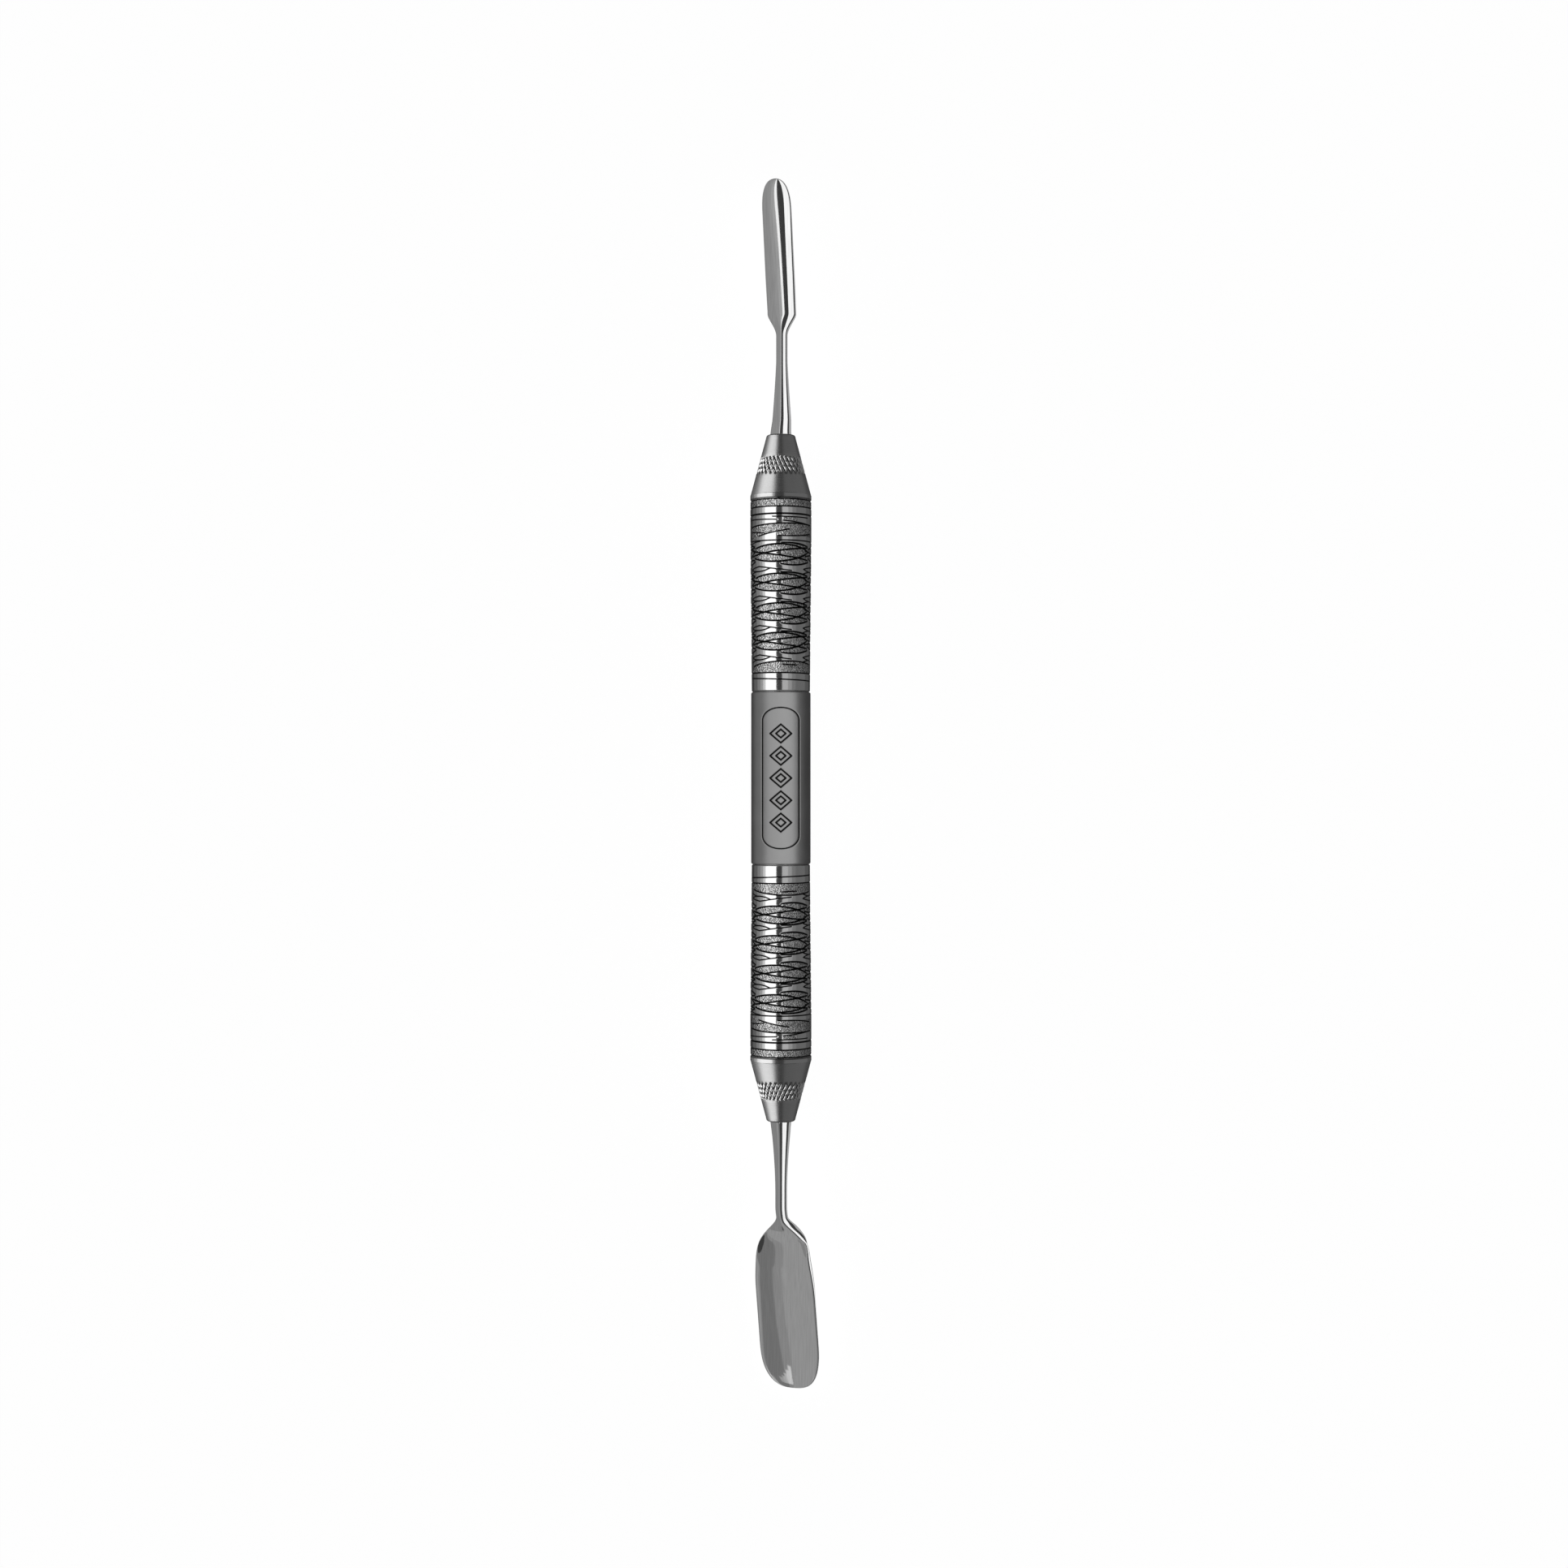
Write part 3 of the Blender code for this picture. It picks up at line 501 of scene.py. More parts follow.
def knurl_relief(angle, out):
    """Depth of two crossing sets of slanted grooves in the finger ring, one set the deeper."""
    along = (out - KNURL_FROM) * 2 * math.pi / KNURL_TWIST_LENGTH
    one = np.abs(np.sin((KNURL_GROOVES * angle + along) / 2))
    two = np.abs(np.sin((KNURL_GROOVES * angle - along) / 2))
    deep = 1 - smooth_step(one * KNURL_SHARPNESS)
    shallow = KNURL_CROSS_SHARE * (1 - smooth_step(two * KNURL_SHARPNESS))
    ring = smooth_step((out - KNURL_FROM) / KNURL_FADE) * smooth_step((KNURL_TO - out) / KNURL_FADE)
    groove = np.maximum(deep, shallow) * ring
    marks = {
        "knurl": ring,
        "groove": groove,
        # Painted shade: this mark darkens the nut's back edge, for the shade of its joint with the
        # tube.
        "seam_shade": smooth_step((NUT_BACK + SEAM_REACH - out) / EDGE_CHAMFER),
        "land": (out < NUT_FOOT).astype(float),
    }
    return -KNURL_DEPTH * groove, marks


def thread_height(angle, out):
    """How far a right-hand thread stands above its root, as a smooth wave of one pitch."""
    phase = out / THREAD_PITCH + angle / (2 * math.pi)
    run_in = smooth_step((out - THREAD_START) / THREAD_FADE)
    run_out = smooth_step((NUT_BACK - out) / THREAD_FADE)
    return THREAD_DEPTH * (1 + np.cos(2 * math.pi * phase)) / 2 * run_in * run_out


def nut_mesh(name):
    """The conical nut: counterbored mouth, knurled ring, land, seal recess and threaded spigot."""
    start = NUT_BACK + KNURL_START
    slope = math.degrees(math.atan2(TUBE_END_RADIUS - NUT_MOUTH_RADIUS, NUT_MOUTH - NUT_BACK))
    edge_out = NUT_MOUTH - NUT_MOUTH_EDGE
    edge_centre = (float(cone_radius(edge_out)) - NUT_MOUTH_EDGE, edge_out)
    foot = NUT_BACK + NUT_LAND_LENGTH
    profile = arc(edge_centre, NUT_MOUTH_EDGE, 90, slope, EDGE_ARC_STEPS)
    upper = steps_between(NUT_MOUTH - 2 * NUT_MOUTH_EDGE, start + KNURL_LENGTH, CONE_STEP)[:-1]
    ring = steps_between(start + KNURL_LENGTH, start, KNURL_STEP)
    lower = steps_between(start, foot, CONE_STEP)[1:-1] + [foot + NUT_LAND_EASE, foot]
    profile += [(float(cone_radius(out)), out) for out in upper + ring + lower]
    profile += [
        (TUBE_END_RADIUS, foot - NUT_LAND_STEP),
        (TUBE_END_RADIUS, foot - NUT_LAND_STEP - NUT_LAND_EASE),
        (TUBE_END_RADIUS, NUT_BACK + 2 * EDGE_CHAMFER),
        (TUBE_END_RADIUS, NUT_BACK + EDGE_CHAMFER),
        (TUBE_END_RADIUS - EDGE_CHAMFER, NUT_BACK),
        (SEAL_RECESS_RADIUS, NUT_BACK),
        (SEAL_RECESS_RADIUS, NUT_BACK + SEAL_RECESS_DEPTH),
        (THREAD_ROOT_RADIUS, NUT_BACK + SEAL_RECESS_DEPTH),
    ]
    spigot = steps_between(NUT_BACK, THREAD_START, THREAD_STEP)
    profile += [(THREAD_ROOT_RADIUS, out) for out in spigot]
    profile += [
        (NUT_BORE_RADIUS, THREAD_START),
        (NUT_BORE_RADIUS, NUT_MOUTH - COUNTERBORE_DEPTH),
        (NUT_MOUTH_BORE_RADIUS, NUT_MOUTH - COUNTERBORE_DEPTH),
        (NUT_MOUTH_BORE_RADIUS, NUT_MOUTH),
    ]
    mesh = finished_mesh(turned(profile, NUT_SIDES), name, 50)
    cut_surface(mesh, nut_radius, knurl_relief)
    cut_surface(
        mesh,
        lambda out: np.where(out <= NUT_BACK + 0.001 * MM, THREAD_ROOT_RADIUS, MM),
        lambda angle, out: (thread_height(angle, out), {}),
    )
    return mesh


# ---------------------------------------------------------------------------------------------
# The blades
# ---------------------------------------------------------------------------------------------
# Lengths run outward from the nut's mouth, x is to the right and z up in the tool's
# frame, and roll raises the right-hand edge. The ridge is the highest line along the face, as a
# share of the half width to the right. The bowl is a steeper wall round the face's start, and the
# lip is the right-hand edge, which droops there.
NARROW_BLADE = {
    "reach": 40.15 * MM,
    "neck_radius": 0.905 * MM,
    "neck_at": 11.76 * MM,
    "taper_power": 1.2,
    "shoulder_start": 15.7 * MM,
    "shoulder_end": 19.04 * MM,
    "shoulder_power": 0.84,
    "shoulder_half_width": 2.27 * MM,
    "half_width": 2.315 * MM,
    "widest_from": 24.94 * MM,
    "tip_length": 5.24 * MM,
    "tip_power": 2.5,
    "crown": 1.04 * MM,
    "tip_crown": 0.7 * MM,
    "crown_hold": 2.0,
    "ridge_at": 0.41,
    "ridge_power": 1.4,
    "belly": 0.32 * MM,
    "tip_belly": 0.16 * MM,
    "dish": 0.0,
    "bowl": 0.0,
    "bowl_length": 4.0 * MM,
    "lip_width": 0.3 * MM,
    "lip_end_width": 0.3 * MM,
    "lip_drop": 0.0,
    "lip_end_drop": 0.0,
    "lip_length": 9.0 * MM,
    "face_start": 19.5 * MM,
    "roll": 0.0,
    "shank_shift": 0.163 * MM,
    "blade_shift": 0.0,
    "lean_start": 19.2 * MM,
    "lean": -0.049,
    "tip_skew": 0.0,
    "rise": 2.6 * MM,
    "curl": 0.0,
    "curl_length": 1.0 * MM,
}
WIDE_BLADE = {
    "reach": 43.02 * MM,
    "neck_radius": 0.93 * MM,
    "neck_at": 11.41 * MM,
    "taper_power": 1.8,
    "shoulder_start": 15.3 * MM,
    "shoulder_end": 22.5 * MM,
    "shoulder_power": 1.8,
    "shoulder_half_width": 4.26 * MM,
    "half_width": 4.95 * MM,
    "widest_from": 27.04 * MM,
    "tip_length": 7.46 * MM,
    "tip_power": 2.74,
    "crown": 0.26 * MM,
    "tip_crown": 0.16 * MM,
    "crown_hold": 1.0,
    "ridge_at": 0.0,
    "ridge_power": 10.0,
    "belly": 0.55 * MM,
    "tip_belly": 0.26 * MM,
    "dish": 0.36 * MM,
    "bowl": 0.4 * MM,
    "bowl_length": 4.0 * MM,
    "lip_width": 1.1 * MM,
    "lip_end_width": 0.6 * MM,
    "lip_drop": 1.2 * MM,
    "lip_end_drop": 0.33 * MM,
    "lip_length": 9.0 * MM,
    "face_start": 19.5 * MM,
    "roll": math.radians(17),
    "shank_shift": 0.05 * MM,
    "blade_shift": 0.274 * MM,
    "lean_start": 22.05 * MM,
    "lean": 0.072,
    "tip_skew": 0.243 * MM,
    "rise": -2.75 * MM,
    "curl": 0.9 * MM,
    "curl_length": 10.0 * MM,
}
SHOULDER_TO_SPREAD = 3.0 * MM
TIP_SKEW_LENGTH = 4.5 * MM
RISE_START = 5.0 * MM
SHANK_SHIFT_LENGTH = 3.0 * MM
BLADE_SHIFT_LENGTH = 3.0 * MM
LIP_ONSET_LENGTH = 2.0 * MM
LIP_SETTLING_POWER = 6
LIP_LEAST_SHARE = 0.4
LIP_GREATEST_SHARE = 0.9
LIP_POWER = 2
BOWL_WALL_POWER = 10
EDGE_THICKNESS_SHARE = 0.3
TIP_LEAST_HALF_WIDTH = 0.01 * MM
KEY_OUTER_BACK = 15.3 * MM
KEY_LENGTH = 4.8 * MM
SHANK_BACK = 1.45 * MM


def shank_radius(blade, at):
    """Radius of the round shank, which tapers to its neck."""
    share = min(1.0, max(0.0, at / blade["neck_at"]))
    return blend(blade["neck_radius"], SHANK_RADIUS, (1 - share) ** blade["taper_power"])


def shoulder_share(blade, at):
    """0 on the round shank, 1 where the shoulder has spread into the blade."""
    run = (at - blade["shoulder_start"]) / (blade["shoulder_end"] - blade["shoulder_start"])
    run = min(1.0, max(0.0, run))
    return float(smooth_step(1 - (1 - run) ** blade["shoulder_power"]))


def tip_share(blade, at):
    """How much of its width the blade still has on the way round its tip."""
    run = (at - blade["reach"] + blade["tip_length"]) / blade["tip_length"]
    if run <= 0:
        return 1.0
    return max(0.0, 1 - min(1.0, run) ** blade["tip_power"]) ** (1 / blade["tip_power"])


def blade_half_width(blade, at):
    """Half width of the shank or blade at a length from the nut's mouth."""
    spread_from = blade["shoulder_start"] + SHOULDER_TO_SPREAD
    spread = float(smooth_step((at - spread_from) / (blade["widest_from"] - spread_from)))
    width = blend(shank_radius(blade, at), blade["shoulder_half_width"], shoulder_share(blade, at))
    width += (blade["half_width"] - blade["shoulder_half_width"]) * spread
    return width * tip_share(blade, at)


def fade_along_face(blade, at, length):
    """1 up to the face's start, then down to 0 over that length."""
    return min(1.0, max(0.0, 1 - (at - blade["face_start"]) / length))


def lip_shape(blade, at, half_width):
    """The drooping lip's width as a share of the half width, and how far its edge drops."""
    onset = at - blade["shoulder_start"]
    run = min(1.0, max(0.0, onset / (blade["face_start"] - blade["shoulder_start"])))
    settled = run**LIP_SETTLING_POWER
    fade = fade_along_face(blade, at, blade["lip_length"])
    width = blend(blade["lip_width"], blade["lip_end_width"], settled)
    width *= blend(LIP_LEAST_SHARE, 1.0, fade)
    drop = blend(blade["lip_drop"], blade["lip_end_drop"], settled)
    drop = drop * float(smooth_step(onset / LIP_ONSET_LENGTH)) * fade
    return min(LIP_GREATEST_SHARE, width / half_width), drop


def face_height(blade, across):
    """Height of the face from 0 at its edges to 1 on its ridge, across running from -1 to 1."""
    ridge = blade["ridge_at"]
    side_width = 1 - ridge if across > ridge else 1 + ridge
    from_ridge = abs(across - ridge) / side_width
    return math.sqrt(max(0.0, 1 - from_ridge ** blade["ridge_power"]))


def blade_centre(blade, at):
    """Where the blade's centreline is: x to the right and z up, from the nut's axis."""
    x = blade["shank_shift"] * float(smooth_step(at / SHANK_SHIFT_LENGTH))
    shift_from = blade["shoulder_start"] - BLADE_SHIFT_LENGTH / 2
    x += blade["blade_shift"] * float(smooth_step((at - shift_from) / BLADE_SHIFT_LENGTH))
    x += blade["lean"] * max(0.0, at - blade["lean_start"])
    skew = max(0.0, at - blade["reach"] + TIP_SKEW_LENGTH) / TIP_SKEW_LENGTH
    x += blade["tip_skew"] * skew**2
    z = blade["rise"] * float(smooth_step((at - RISE_START) / (blade["reach"] - RISE_START)))
    curl = max(0.0, at - blade["reach"] + blade["curl_length"]) / blade["curl_length"]
    return x, z + blade["curl"] * curl**2


def blade_section(blade, at):
    """The ring of (x, z) points of the shank or blade at a length from the nut's mouth."""
    half_width = max(blade_half_width(blade, at), TIP_LEAST_HALF_WIDTH)
    flat = shoulder_share(blade, at)
    tip = tip_share(blade, at)
    radius = shank_radius(blade, at)
    face_length = blade["reach"] - blade["shoulder_end"]
    along = min(1.0, max(0.0, (at - blade["shoulder_end"]) / face_length))
    edge = blend(EDGE_THICKNESS_SHARE, 1.0, tip)
    crown = blend(blade["crown"], blade["tip_crown"], along ** blade["crown_hold"]) * edge
    belly = blend(radius, blend(blade["belly"], blade["tip_belly"], along) * edge, flat)
    dish = blade["dish"] * flat * tip
    bowl = blade["bowl"] * flat * tip * fade_along_face(blade, at, blade["bowl_length"])
    lip_share, lip_drop = lip_shape(blade, at, half_width)
    centre_x, centre_z = blade_centre(blade, at)
    roll = blade["roll"] * float(smooth_step(at / blade["neck_at"]))
    points = []
    for side in range(BLADE_SIDES):
        angle = 2 * math.pi * side / BLADE_SIDES
        across = math.cos(angle)
        if math.sin(angle) > 0:
            z = blend(radius * math.sin(angle), crown * face_height(blade, across), flat)
        else:
            z = belly * math.sin(angle)
        z -= dish * (1 - across**2) + bowl * (1 - across**BOWL_WALL_POWER)
        z -= lip_drop * max(0.0, (across - 1 + lip_share) / lip_share) ** LIP_POWER
        x = half_width * across
        placed_x = centre_x + x * math.cos(roll) - z * math.sin(roll)
        points.append((placed_x, centre_z + x * math.sin(roll) + z * math.cos(roll)))
    return points


def round_section(radius):
    """A circle of (x, z) points."""
    step = 2 * math.pi / BLADE_SIDES
    return [(radius * math.cos(step * n), radius * math.sin(step * n)) for n in range(BLADE_SIDES)]


def square_section(half_side):
    """A square of (x, z) points with as many points as a circle."""
    points = []
    for x, z in round_section(1.0):
        grow = half_side / max(abs(x), abs(z))
        points.append((x * grow, z * grow))
    return points


def blade_stations(blade):
    """Lengths from the nut's mouth at which a section is set."""
    tip_from = blade["reach"] - blade["tip_length"]
    stations = steps_between(0.0, blade["shoulder_start"], SHANK_STEP)[1:]
    stations += steps_between(blade["shoulder_start"], blade["shoulder_end"], SHOULDER_STEP)[1:]
    stations += steps_between(blade["shoulder_end"], tip_from, FACE_STEP)[1:]
    for n in range(1, TIP_ROUNDS):
        stations.append(tip_from + blade["tip_length"] * math.sin(math.pi / 2 * n / TIP_ROUNDS))
    return stations


def joined_vert(vert, fresh):
    """The one of the fresh vertices that an edge joins to this one."""
    others = (edge.other_vert(vert) for edge in vert.link_edges)
    return next(other for other in others if other in fresh)


def blade_mesh(name, blade):
    """A blade with its shank and tang, grown ring by ring."""
    key_outer = NUT_MOUTH - KEY_OUTER_BACK
    sections = [
        (key_outer - KEY_LENGTH, square_section(KEY_HALF_SIDE)),
        (key_outer, square_section(KEY_HALF_SIDE)),
        (key_outer + SEAM_GAP, round_section(TANG_RADIUS)),
        (NUT_MOUTH - SHANK_BACK - SEAM_GAP, round_section(TANG_RADIUS)),
        (NUT_MOUTH - SHANK_BACK, round_section(SHANK_RADIUS)),
        (NUT_MOUTH, round_section(SHANK_RADIUS)),
    ]
    sections += [(NUT_MOUTH + at, blade_section(blade, at)) for at in blade_stations(blade)]
    shape = bmesh.new()
    ring = bmesh.ops.create_circle(shape, cap_ends=True, segments=BLADE_SIDES, radius=MM)["verts"]
    ring.sort(key=lambda vert: math.atan2(vert.co.y, vert.co.x) % (2 * math.pi))
    edges = list(shape.edges)
    for out, points in sections:
        if out > sections[0][0]:
            grown = bmesh.ops.extrude_edge_only(shape, edges=edges)["geom"]
            edges = [item for item in grown if isinstance(item, bmesh.types.BMEdge)]
            fresh = {vert for edge in edges for vert in edge.verts}
            ring = [joined_vert(vert, fresh) for vert in ring]
        for vert, (x, z) in zip(ring, points):
            vert.co = (x, out, z)
    tip_x, tip_z = blade_centre(blade, blade["reach"])
    closed = bmesh.ops.contextual_create(shape, geom=edges)
    middle = bmesh.ops.poke(shape, faces=closed["faces"])["verts"][0]
    middle.co = (tip_x, NUT_MOUTH + blade["reach"], tip_z)
    bmesh.ops.recalc_face_normals(shape, faces=shape.faces)
    return finished_mesh(shape, name, 50)


# ---------------------------------------------------------------------------------------------
# Finishes
# ---------------------------------------------------------------------------------------------
class Finish:
    """A material being wired: short calls that add its nodes to a Principled shader."""

    def __init__(self, name, colour, roughness, metallic=1.0):
        self.material = bpy.data.materials.new(name)
        self.material.use_nodes = True
        self.nodes = self.material.node_tree.nodes
        self.links = self.material.node_tree.links
        self.shader = self.nodes["Principled BSDF"]
        self.shader.inputs["Base Color"].default_value = (colour, colour, colour, 1.0)
        self.shader.inputs["Roughness"].default_value = roughness
        self.shader.inputs["Metallic"].default_value = metallic
        self.place = self.nodes.new("ShaderNodeTexCoord").outputs["Object"]
        self.bump_normal = None

    def stretched(self, x, y, z):
        """Object coordinates scaled by that much along each axis."""
        mapping = self.nodes.new("ShaderNodeMapping")
        mapping.inputs["Scale"].default_value = (x, y, z)
        self.links.new(self.place, mapping.inputs["Vector"])
        return mapping.outputs["Vector"]

    def noise(self, scale, detail=3.0, vector=None):
        """Cloudy noise; a scale of 1000 repeats about once a millimetre."""
        node = self.nodes.new("ShaderNodeTexNoise")
        node.inputs["Scale"].default_value = scale
        node.inputs["Detail"].default_value = detail
        self.links.new(vector or self.place, node.inputs["Vector"])
        return node.outputs["Fac"]

    def dimples(self, scale):
        """Distance to the nearest of a field of points."""
        node = self.nodes.new("ShaderNodeTexVoronoi")
        node.inputs["Scale"].default_value = scale
        self.links.new(self.place, node.inputs["Vector"])
        return node.outputs["Distance"]

    def mark(self, name):
        """The number that the mesh stores at each point under that name."""
        node = self.nodes.new("ShaderNodeAttribute")
        node.attribute_name = name
        return node.outputs["Fac"]

    def ranged(self, value, low, high, from_low=0.0, from_high=1.0):
        """A value moved from one range to another."""
        node = self.nodes.new("ShaderNodeMapRange")
        node.inputs["From Min"].default_value = from_low
        node.inputs["From Max"].default_value = from_high
        node.inputs["To Min"].default_value = low
        node.inputs["To Max"].default_value = high
        self.links.new(value, node.inputs["Value"])
        return node.outputs["Result"]

    def maths(self, operation, one, two):
        """Two values put through a Math node; a plain number is set on the node."""
        node = self.nodes.new("ShaderNodeMath")
        node.operation = operation
        for socket, value in zip(node.inputs, (one, two)):
            if isinstance(value, (int, float)):
                socket.default_value = value
            else:
                self.links.new(value, socket)
        return node.outputs["Value"]

    def grey(self, value):
        """Feeds the base colour from a value."""
        node = self.nodes.new("ShaderNodeCombineColor")
        for socket in node.inputs[:3]:
            self.links.new(value, socket)
        self.links.new(node.outputs["Color"], self.shader.inputs["Base Color"])

    def roughness(self, value):
        """Feeds the roughness from a value."""
        self.links.new(value, self.shader.inputs["Roughness"])

    def bump(self, height, distance, strength=1.0):
        """Adds a bump of that height in metres over the bumps added so far."""
        node = self.nodes.new("ShaderNodeBump")
        node.inputs["Distance"].default_value = distance
        node.inputs["Strength"].default_value = strength
        self.links.new(height, node.inputs["Height"])
        if self.bump_normal:
            self.links.new(self.bump_normal, node.inputs["Normal"])
        self.bump_normal = node.outputs["Normal"]
        self.links.new(self.bump_normal, self.shader.inputs["Normal"])


def polished_grip_finish():
    """Polished steel with speckled peened fields and painted shade in the engraved lines."""
    finish = Finish("polished_engraved_steel", 0.8, 0.12)
    groove = finish.mark("groove")
    peened = finish.mark("peened")
    cloud = finish.noise(260, 4)
    pits = finish.dimples(4200)
    grain = finish.noise(5200, 2)
    tone = finish.ranged(cloud, 0.78, 0.86)
    pit_tone = finish.ranged(pits, 0.1, 1.0, 0.12, 0.42)
    grain_tone = finish.ranged(grain, 0.3, 1.15, 0.38, 0.6)
    speckle = finish.maths("MULTIPLY", pit_tone, grain_tone)
    loss = finish.maths("MULTIPLY", peened, finish.maths("SUBTRACT", 1.0, speckle))
    worn = finish.maths("MULTIPLY", tone, finish.maths("SUBTRACT", 1.0, loss))
    # Painted shade: colour near black along the engraved lines, for the shade in their cuts.
    painted_groove_shade = finish.ranged(groove, 1.0, 0.01, 0.05, 0.32)
    finish.grey(finish.maths("MULTIPLY", worn, painted_groove_shade))
    base = finish.ranged(cloud, 0.08, 0.15)
    finish.roughness(finish.maths("ADD", base, finish.maths("MULTIPLY", peened, 0.14)))
    finish.bump(finish.maths("MULTIPLY", pits, peened), 0.09 * MM, 1.0)
    finish.bump(finish.maths("MULTIPLY", grain, peened), 0.05 * MM, 1.0)
    finish.bump(finish.noise(900, 2, finish.stretched(1, 0.1, 1)), 0.0008 * MM)
    return finish.material


def blasted_finish():
    """Bead-blasted steel of the band: even satin, fine grain and painted shade in the engraved
    lines.
    """
    finish = Finish("blasted_steel", 0.6, 0.42)
    groove = finish.mark("groove")
    grain = finish.noise(9000, 2)
    cloud = finish.noise(350, 3)
    tone = finish.ranged(cloud, 0.56, 0.66)
    # Painted shade: colour near black along the engraved label lines, for the shade in their cuts.
    painted_groove_shade = finish.ranged(groove, 1.0, 0.02, 0.12, 0.5)
    finish.grey(finish.maths("MULTIPLY", tone, painted_groove_shade))
    finish.roughness(finish.ranged(cloud, 0.36, 0.46))
    finish.bump(grain, 0.012 * MM, 0.7)
    return finish.material


def satin_nut_finish():
    """Satin turned steel, polished land; painted highlight on knurl and land, painted groove shade.
    """
    finish = Finish("satin_turned_steel", 0.6, 0.3)
    groove = finish.mark("groove")
    knurl = finish.mark("knurl")
    land = finish.mark("land")
    cloud = finish.noise(400, 3)
    turning = finish.noise(1, 2, finish.stretched(60, 14000, 60))
    # Painted highlight: the knurled ring's colour is lifted so its crests read near white.
    knurl_highlight = finish.maths("MULTIPLY", knurl, 0.34)
    # The land is really polished (lower roughness below); its colour lift is a painted highlight.
    painted_highlight = finish.maths("ADD", knurl_highlight, finish.maths("MULTIPLY", land, 0.1))
    tone = finish.maths("ADD", finish.ranged(cloud, 0.58, 0.66), painted_highlight)
    # Painted shade: colour near black in the knurl grooves, for the shade between the crests.
    tone = finish.maths("MULTIPLY", tone, finish.ranged(groove, 1.0, 0.02, 0.5, 0.8))
    # Painted shade: colour near black along the nut's back edge, where it meets the tube.
    seam_shade = finish.ranged(finish.mark("seam_shade"), 1.0, 0.02, 0.1, 0.7)
    finish.grey(finish.maths("MULTIPLY", tone, seam_shade))
    satin = finish.ranged(turning, 0.24, 0.33)
    knurl_polish = finish.maths("MULTIPLY", knurl, 0.14)
    polished = finish.maths("ADD", knurl_polish, finish.maths("MULTIPLY", land, 0.1))
    finish.roughness(finish.maths("SUBTRACT", satin, polished))
    finish.bump(turning, 0.003 * MM, 0.6)
    return finish.material


def blade_finish():
    """Mirror-polished steel with faint lengthwise polishing streaks."""
    finish = Finish("mirror_steel", 0.82, 0.07)
    streaks = finish.noise(1, 3, finish.stretched(6000, 160, 2500))
    cloud = finish.noise(300, 3)
    finish.grey(finish.ranged(streaks, 0.76, 0.88, 0.3, 0.7))
    finish.roughness(finish.ranged(cloud, 0.035, 0.07))
    finish.bump(streaks, 0.0006 * MM, 0.5)
    return finish.material


def turned_finish():
    """Bright turned steel of the inner plugs and collars."""
    finish = Finish("bright_turned_steel", 0.62, 0.28)
    rings = finish.noise(1, 2, finish.stretched(60, 9000, 60))
    finish.grey(finish.ranged(finish.noise(500, 3), 0.52, 0.66))
    finish.roughness(finish.ranged(rings, 0.2, 0.36))
    finish.bump(rings, 0.004 * MM, 0.6)
    return finish.material


def rubber_finish():
    """Black rubber of the seal rings."""
    finish = Finish("seal_black_rubber", 0.02, 0.55, 0.0)
    cloud = finish.noise(1500, 3)
    finish.grey(finish.ranged(cloud, 0.015, 0.035))
    finish.roughness(finish.ranged(cloud, 0.45, 0.65))
    finish.bump(cloud, 0.01 * MM, 0.5)
    return finish.material


# ---------------------------------------------------------------------------------------------
# Studio
# ---------------------------------------------------------------------------------------------
STRIP_DISTANCE = 0.4
STRIP_REACH = 0.45
LONG_STRIP_REACH = 1.1
CAMERA_HEIGHT = 0.355
CAMERA_LENS = 51.2
CAMERA_X = 0.0005
CAMERA_Y = 0.0005
FLOOR_RADIUS = 1.6


def strip_light(
    name, receivers, angle_from, angle_to, radiance, near=-STRIP_REACH, far=STRIP_REACH
):
    """A soft flat strip along the tool that fills those degrees round its axis, near to far."""
    half = math.radians(angle_to - angle_from) / 2
    middle = math.radians(angle_from + angle_to) / 2
    lamp = bpy.data.lights.new(name, "AREA")
    lamp.shape = "RECTANGLE"
    lamp.size = 2 * STRIP_DISTANCE * math.tan(half)
    lamp.size_y = far - near
    lamp.energy = radiance * math.pi * lamp.size * lamp.size_y
    light = bpy.data.objects.new(name, lamp)
    bpy.context.scene.collection.objects.link(light)
    across, up = STRIP_DISTANCE * math.sin(middle), STRIP_DISTANCE * math.cos(middle)
    light.location = (across, (near + far) / 2, up)
    light.rotation_euler = (0.0, middle, 0.0)
    light.visible_camera = False
    light.light_linking.receiver_collection = receivers
    return light


def strip_lights(name, pieces, strips):
    """A row of strips that only those pieces receive."""
    receivers = bpy.data.collections.new(name + "_receivers")
    for piece in pieces:
        receivers.objects.link(piece)
    for n, strip in enumerate(strips):
        strip_light(f"{name}_strip_{n}", receivers, *strip)


def add_camera():
    """The camera looks straight down on the tool, with the narrow blade at the top of its view."""
    lens = bpy.data.cameras.new("camera")
    lens.lens = CAMERA_LENS
    lens.sensor_width = 36.0
    lens.clip_start = 0.01
    lens.clip_end = 20.0
    camera = bpy.data.objects.new("camera", lens)
    bpy.context.scene.collection.objects.link(camera)
    camera.location = (CAMERA_X, CAMERA_Y, CAMERA_HEIGHT)
    bpy.context.scene.camera = camera


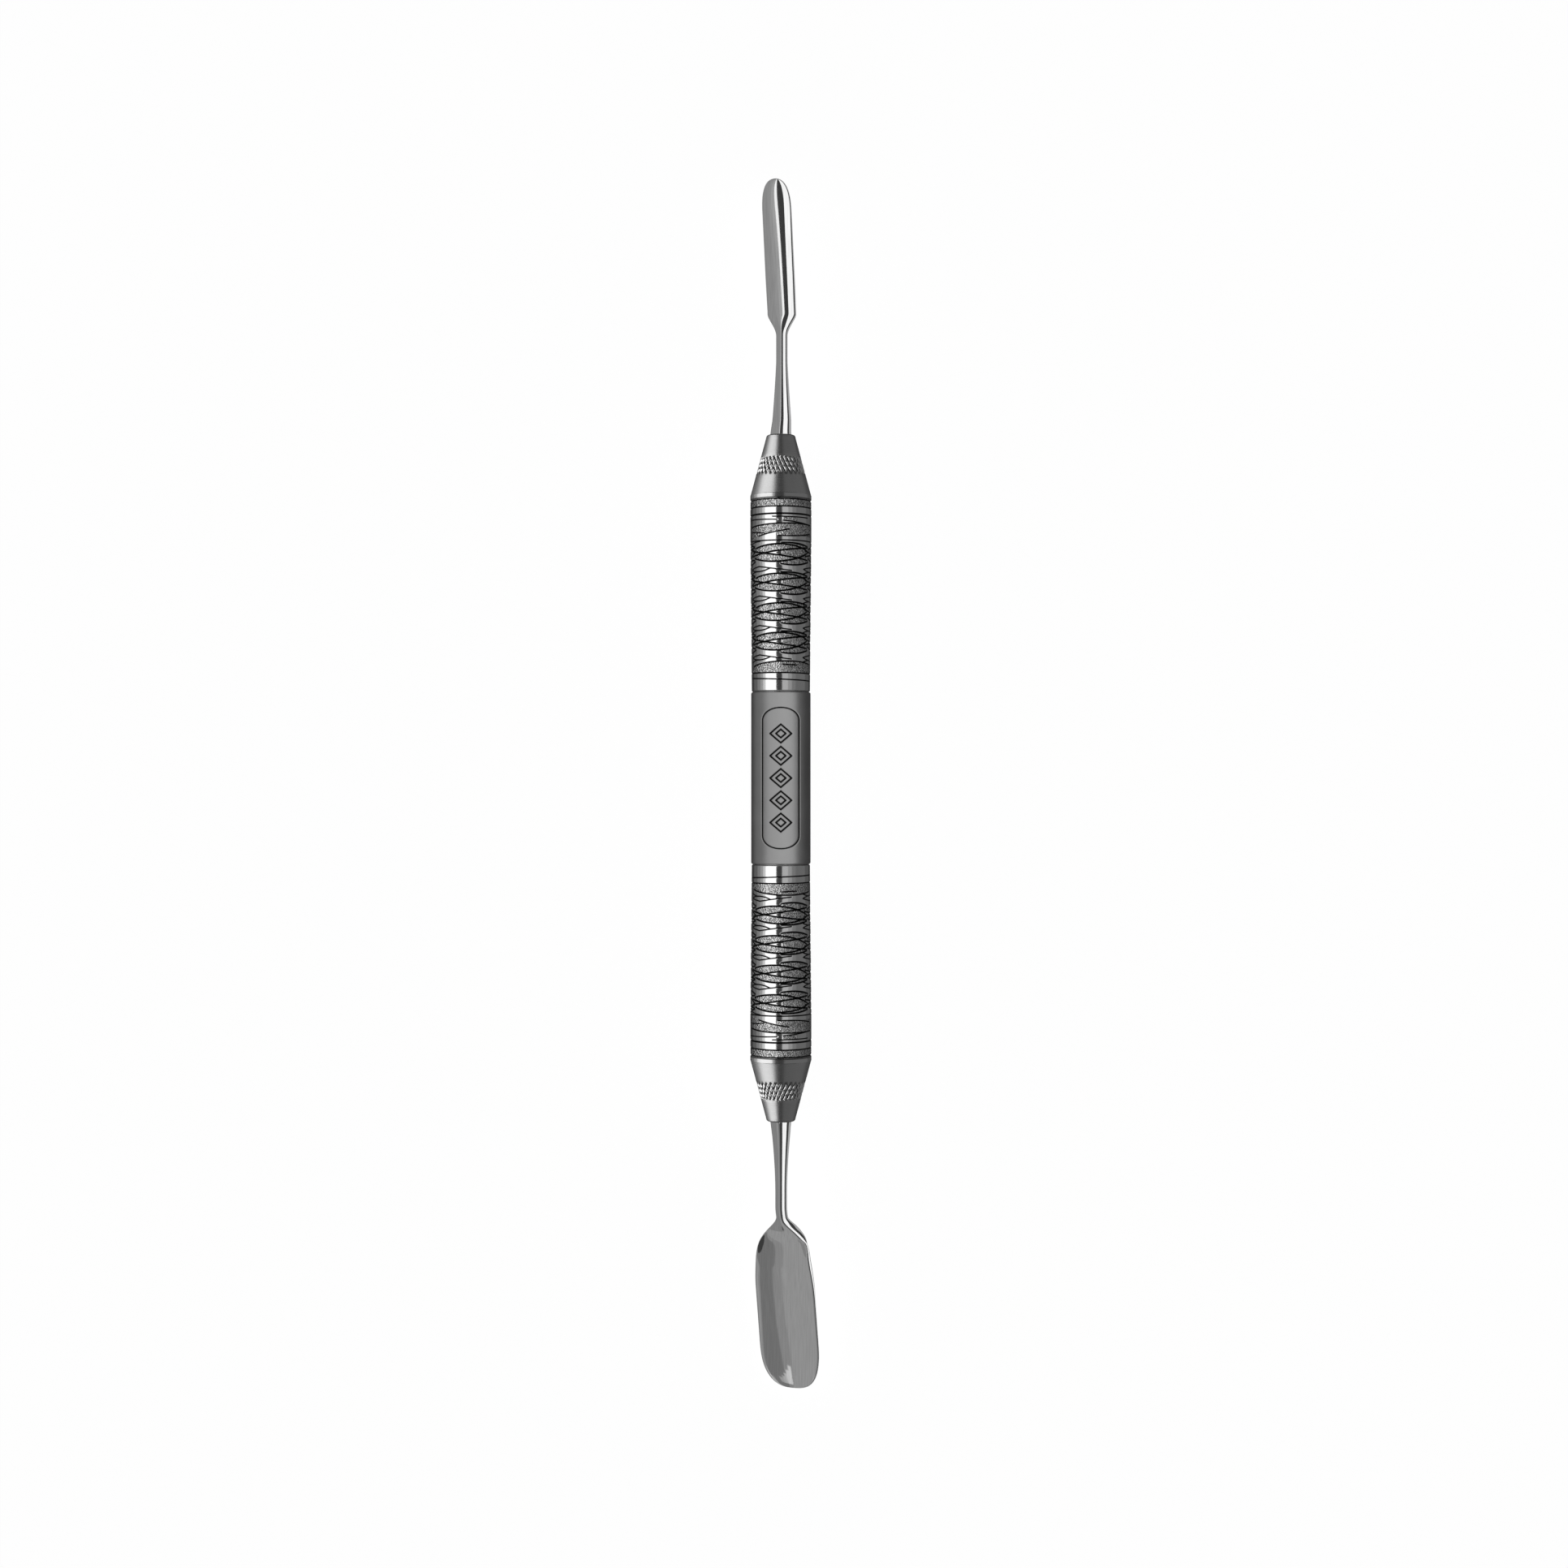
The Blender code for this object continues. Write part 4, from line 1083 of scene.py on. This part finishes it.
def add_sweep():
    """A white floor that curves up into a round wall."""
    profile = [(0.0, 0.0), (FLOOR_RADIUS * 0.7, 0.0)]
    profile += arc((FLOOR_RADIUS * 0.7, FLOOR_RADIUS * 0.3), FLOOR_RADIUS * 0.3, -90, 0, 12)[1:]
    profile.append((FLOOR_RADIUS, FLOOR_RADIUS * 1.4))
    shape = bmesh.new()
    verts = [shape.verts.new((radius, 0.0, CAD_LOW.z + height)) for radius, height in profile]
    edges = [shape.edges.new(pair) for pair in zip(verts, verts[1:])]
    bmesh.ops.spin(
        shape, geom=verts + edges, cent=(0, 0, 0), axis=(0, 0, 1), dvec=(0, 0, 0),
        angle=2 * math.pi, steps=64, use_merge=True, use_normal_flip=False, use_duplicate=False,
    )
    bmesh.ops.remove_doubles(shape, verts=shape.verts, dist=1e-6)
    floor = bpy.data.objects.new("studio_sweep", finished_mesh(shape, "studio_sweep"))
    bpy.context.scene.collection.objects.link(floor)
    white = Finish("white_sweep", 0.8, 0.9, 0.0)
    white.shader.inputs["Emission Color"].default_value = (1.0, 1.0, 1.0, 1.0)
    white.shader.inputs["Emission Strength"].default_value = 0.95
    floor.data.materials.append(white.material)
    floor.visible_glossy = False
    floor.visible_diffuse = False
    floor.visible_shadow = False
    return floor


def set_world():
    """A dim even grey all round, which the steel shows where no light stands."""
    world = bpy.data.worlds.new("studio")
    world.use_nodes = True
    back = world.node_tree.nodes["Background"]
    back.inputs["Color"].default_value = (1.0, 1.0, 1.0, 1.0)
    back.inputs["Strength"].default_value = 0.05
    bpy.context.scene.world = world
    bpy.context.scene.view_settings.view_transform = "Standard"


# ---------------------------------------------------------------------------------------------
# The tool
# ---------------------------------------------------------------------------------------------
grip_steel = polished_grip_finish()
nut_steel = satin_nut_finish()
mirror_steel = blade_finish()
turned_steel = turned_finish()
black_rubber = rubber_finish()

band = band_mesh("label_sleeve")
place(band, 1)
band_piece = add_piece(
    "label_sleeve", band, blasted_finish(), "handle", "label_band"
)

grips, nuts, blades = {}, {}, {}
for side, end in (("narrow", 1), ("wide", -1)):
    mesh = grip_mesh("engraved_grip_" + side)
    place(mesh, end)
    grips[side] = add_piece(
        "engraved_grip_" + side, mesh, grip_steel, "handle", "grip_tube_" + side
    )
    mesh = nut_mesh("knurled_nut_" + side)
    place(mesh, end)
    nuts[side] = add_piece(
        "knurled_nut_" + side, mesh, nut_steel, side + "_nut", "cone_nut_" + side
    )
    mesh = blade_mesh("pusher_" + side, NARROW_BLADE if end > 0 else WIDE_BLADE)
    place(mesh, end)
    blades[side] = add_piece(
        "pusher_" + side, mesh, mirror_steel, side + "_tip", side + "_blade"
    )
    for node, material in (
        ("thread_plug_" + side, turned_steel),
        ("tang_collar_" + side, turned_steel),
        ("nut_seal_" + side, black_rubber),
    ):
        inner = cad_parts[node]
        inner.data.materials.clear()
        inner.data.materials.append(material)

# Strips: (degrees from, degrees to, radiance and, for the blades, from and to along the tool in
# metres), the degrees counted from straight up towards the tool's right.
GRIP_STRIPS = (
    (-130, -105, 0.07), (-105, -88, 0.17), (-88, -74, 0.3), (-74, -62, 0.6), (-62, -18, 1.25),
    (5, 28, 0.42), (28, 44, 0.27), (44, 60, 0.15), (60, 110, 0.1), (110, 140, 0.05),
)
NUT_STRIPS = (
    (-150, -120, 0.12), (-120, -100, 0.35), (-100, -85, 0.95), (-85, -32, 1.15), (-32, -22, 0.3),
    (12, 60, 0.1), (60, 120, 0.1), (120, 150, 0.04),
)
BAND_STRIPS = ((-120, -60, 0.15), (-60, -10, 0.45), (-10, 60, 0.5), (60, 100, 0.05))
LONG = (-LONG_STRIP_REACH, LONG_STRIP_REACH)
NARROW_BLADE_STRIPS = (
    (-150, -60, 0.24, *LONG), (-60, -28, 0.25, *LONG), (-28, -21, 0.28, *LONG),
    (-21, -16, 0.34, *LONG), (-16, -12.5, 1.05, *LONG), (23, 77, 1.05, *LONG),
    (104, 160, 0.4, *LONG),
)
WIDE_BLADE_STRIPS = (
    (-150, -50, 0.2, *LONG), (-50, -34, 0.28, *LONG), (-34, -29, 0.225, *LONG),
    (-29, -16, 0.14, *LONG), (-17, -12, 0.9, -0.175, 0.3), (17, 70, 1.05, *LONG),
    (104, 160, 0.4, *LONG),
    (-33, -31.3, 0.42, -0.148, -0.05), (-31.3, -29.6, 0.36, -0.132, -0.048),
    (-29.6, -28, 0.3, -0.116, -0.045), (-28, -26.4, 0.23, -0.1, -0.042),
    (-26.4, -24.4, 0.17, -0.086, -0.04),
)
strip_lights("grip", grips.values(), GRIP_STRIPS)
strip_lights("nut", nuts.values(), NUT_STRIPS)
strip_lights("band", [band_piece], BAND_STRIPS)
strip_lights("narrow_blade", [blades["narrow"]], NARROW_BLADE_STRIPS)
strip_lights("wide_blade", [blades["wide"]], WIDE_BLADE_STRIPS)
add_sweep()
set_world()
add_camera()
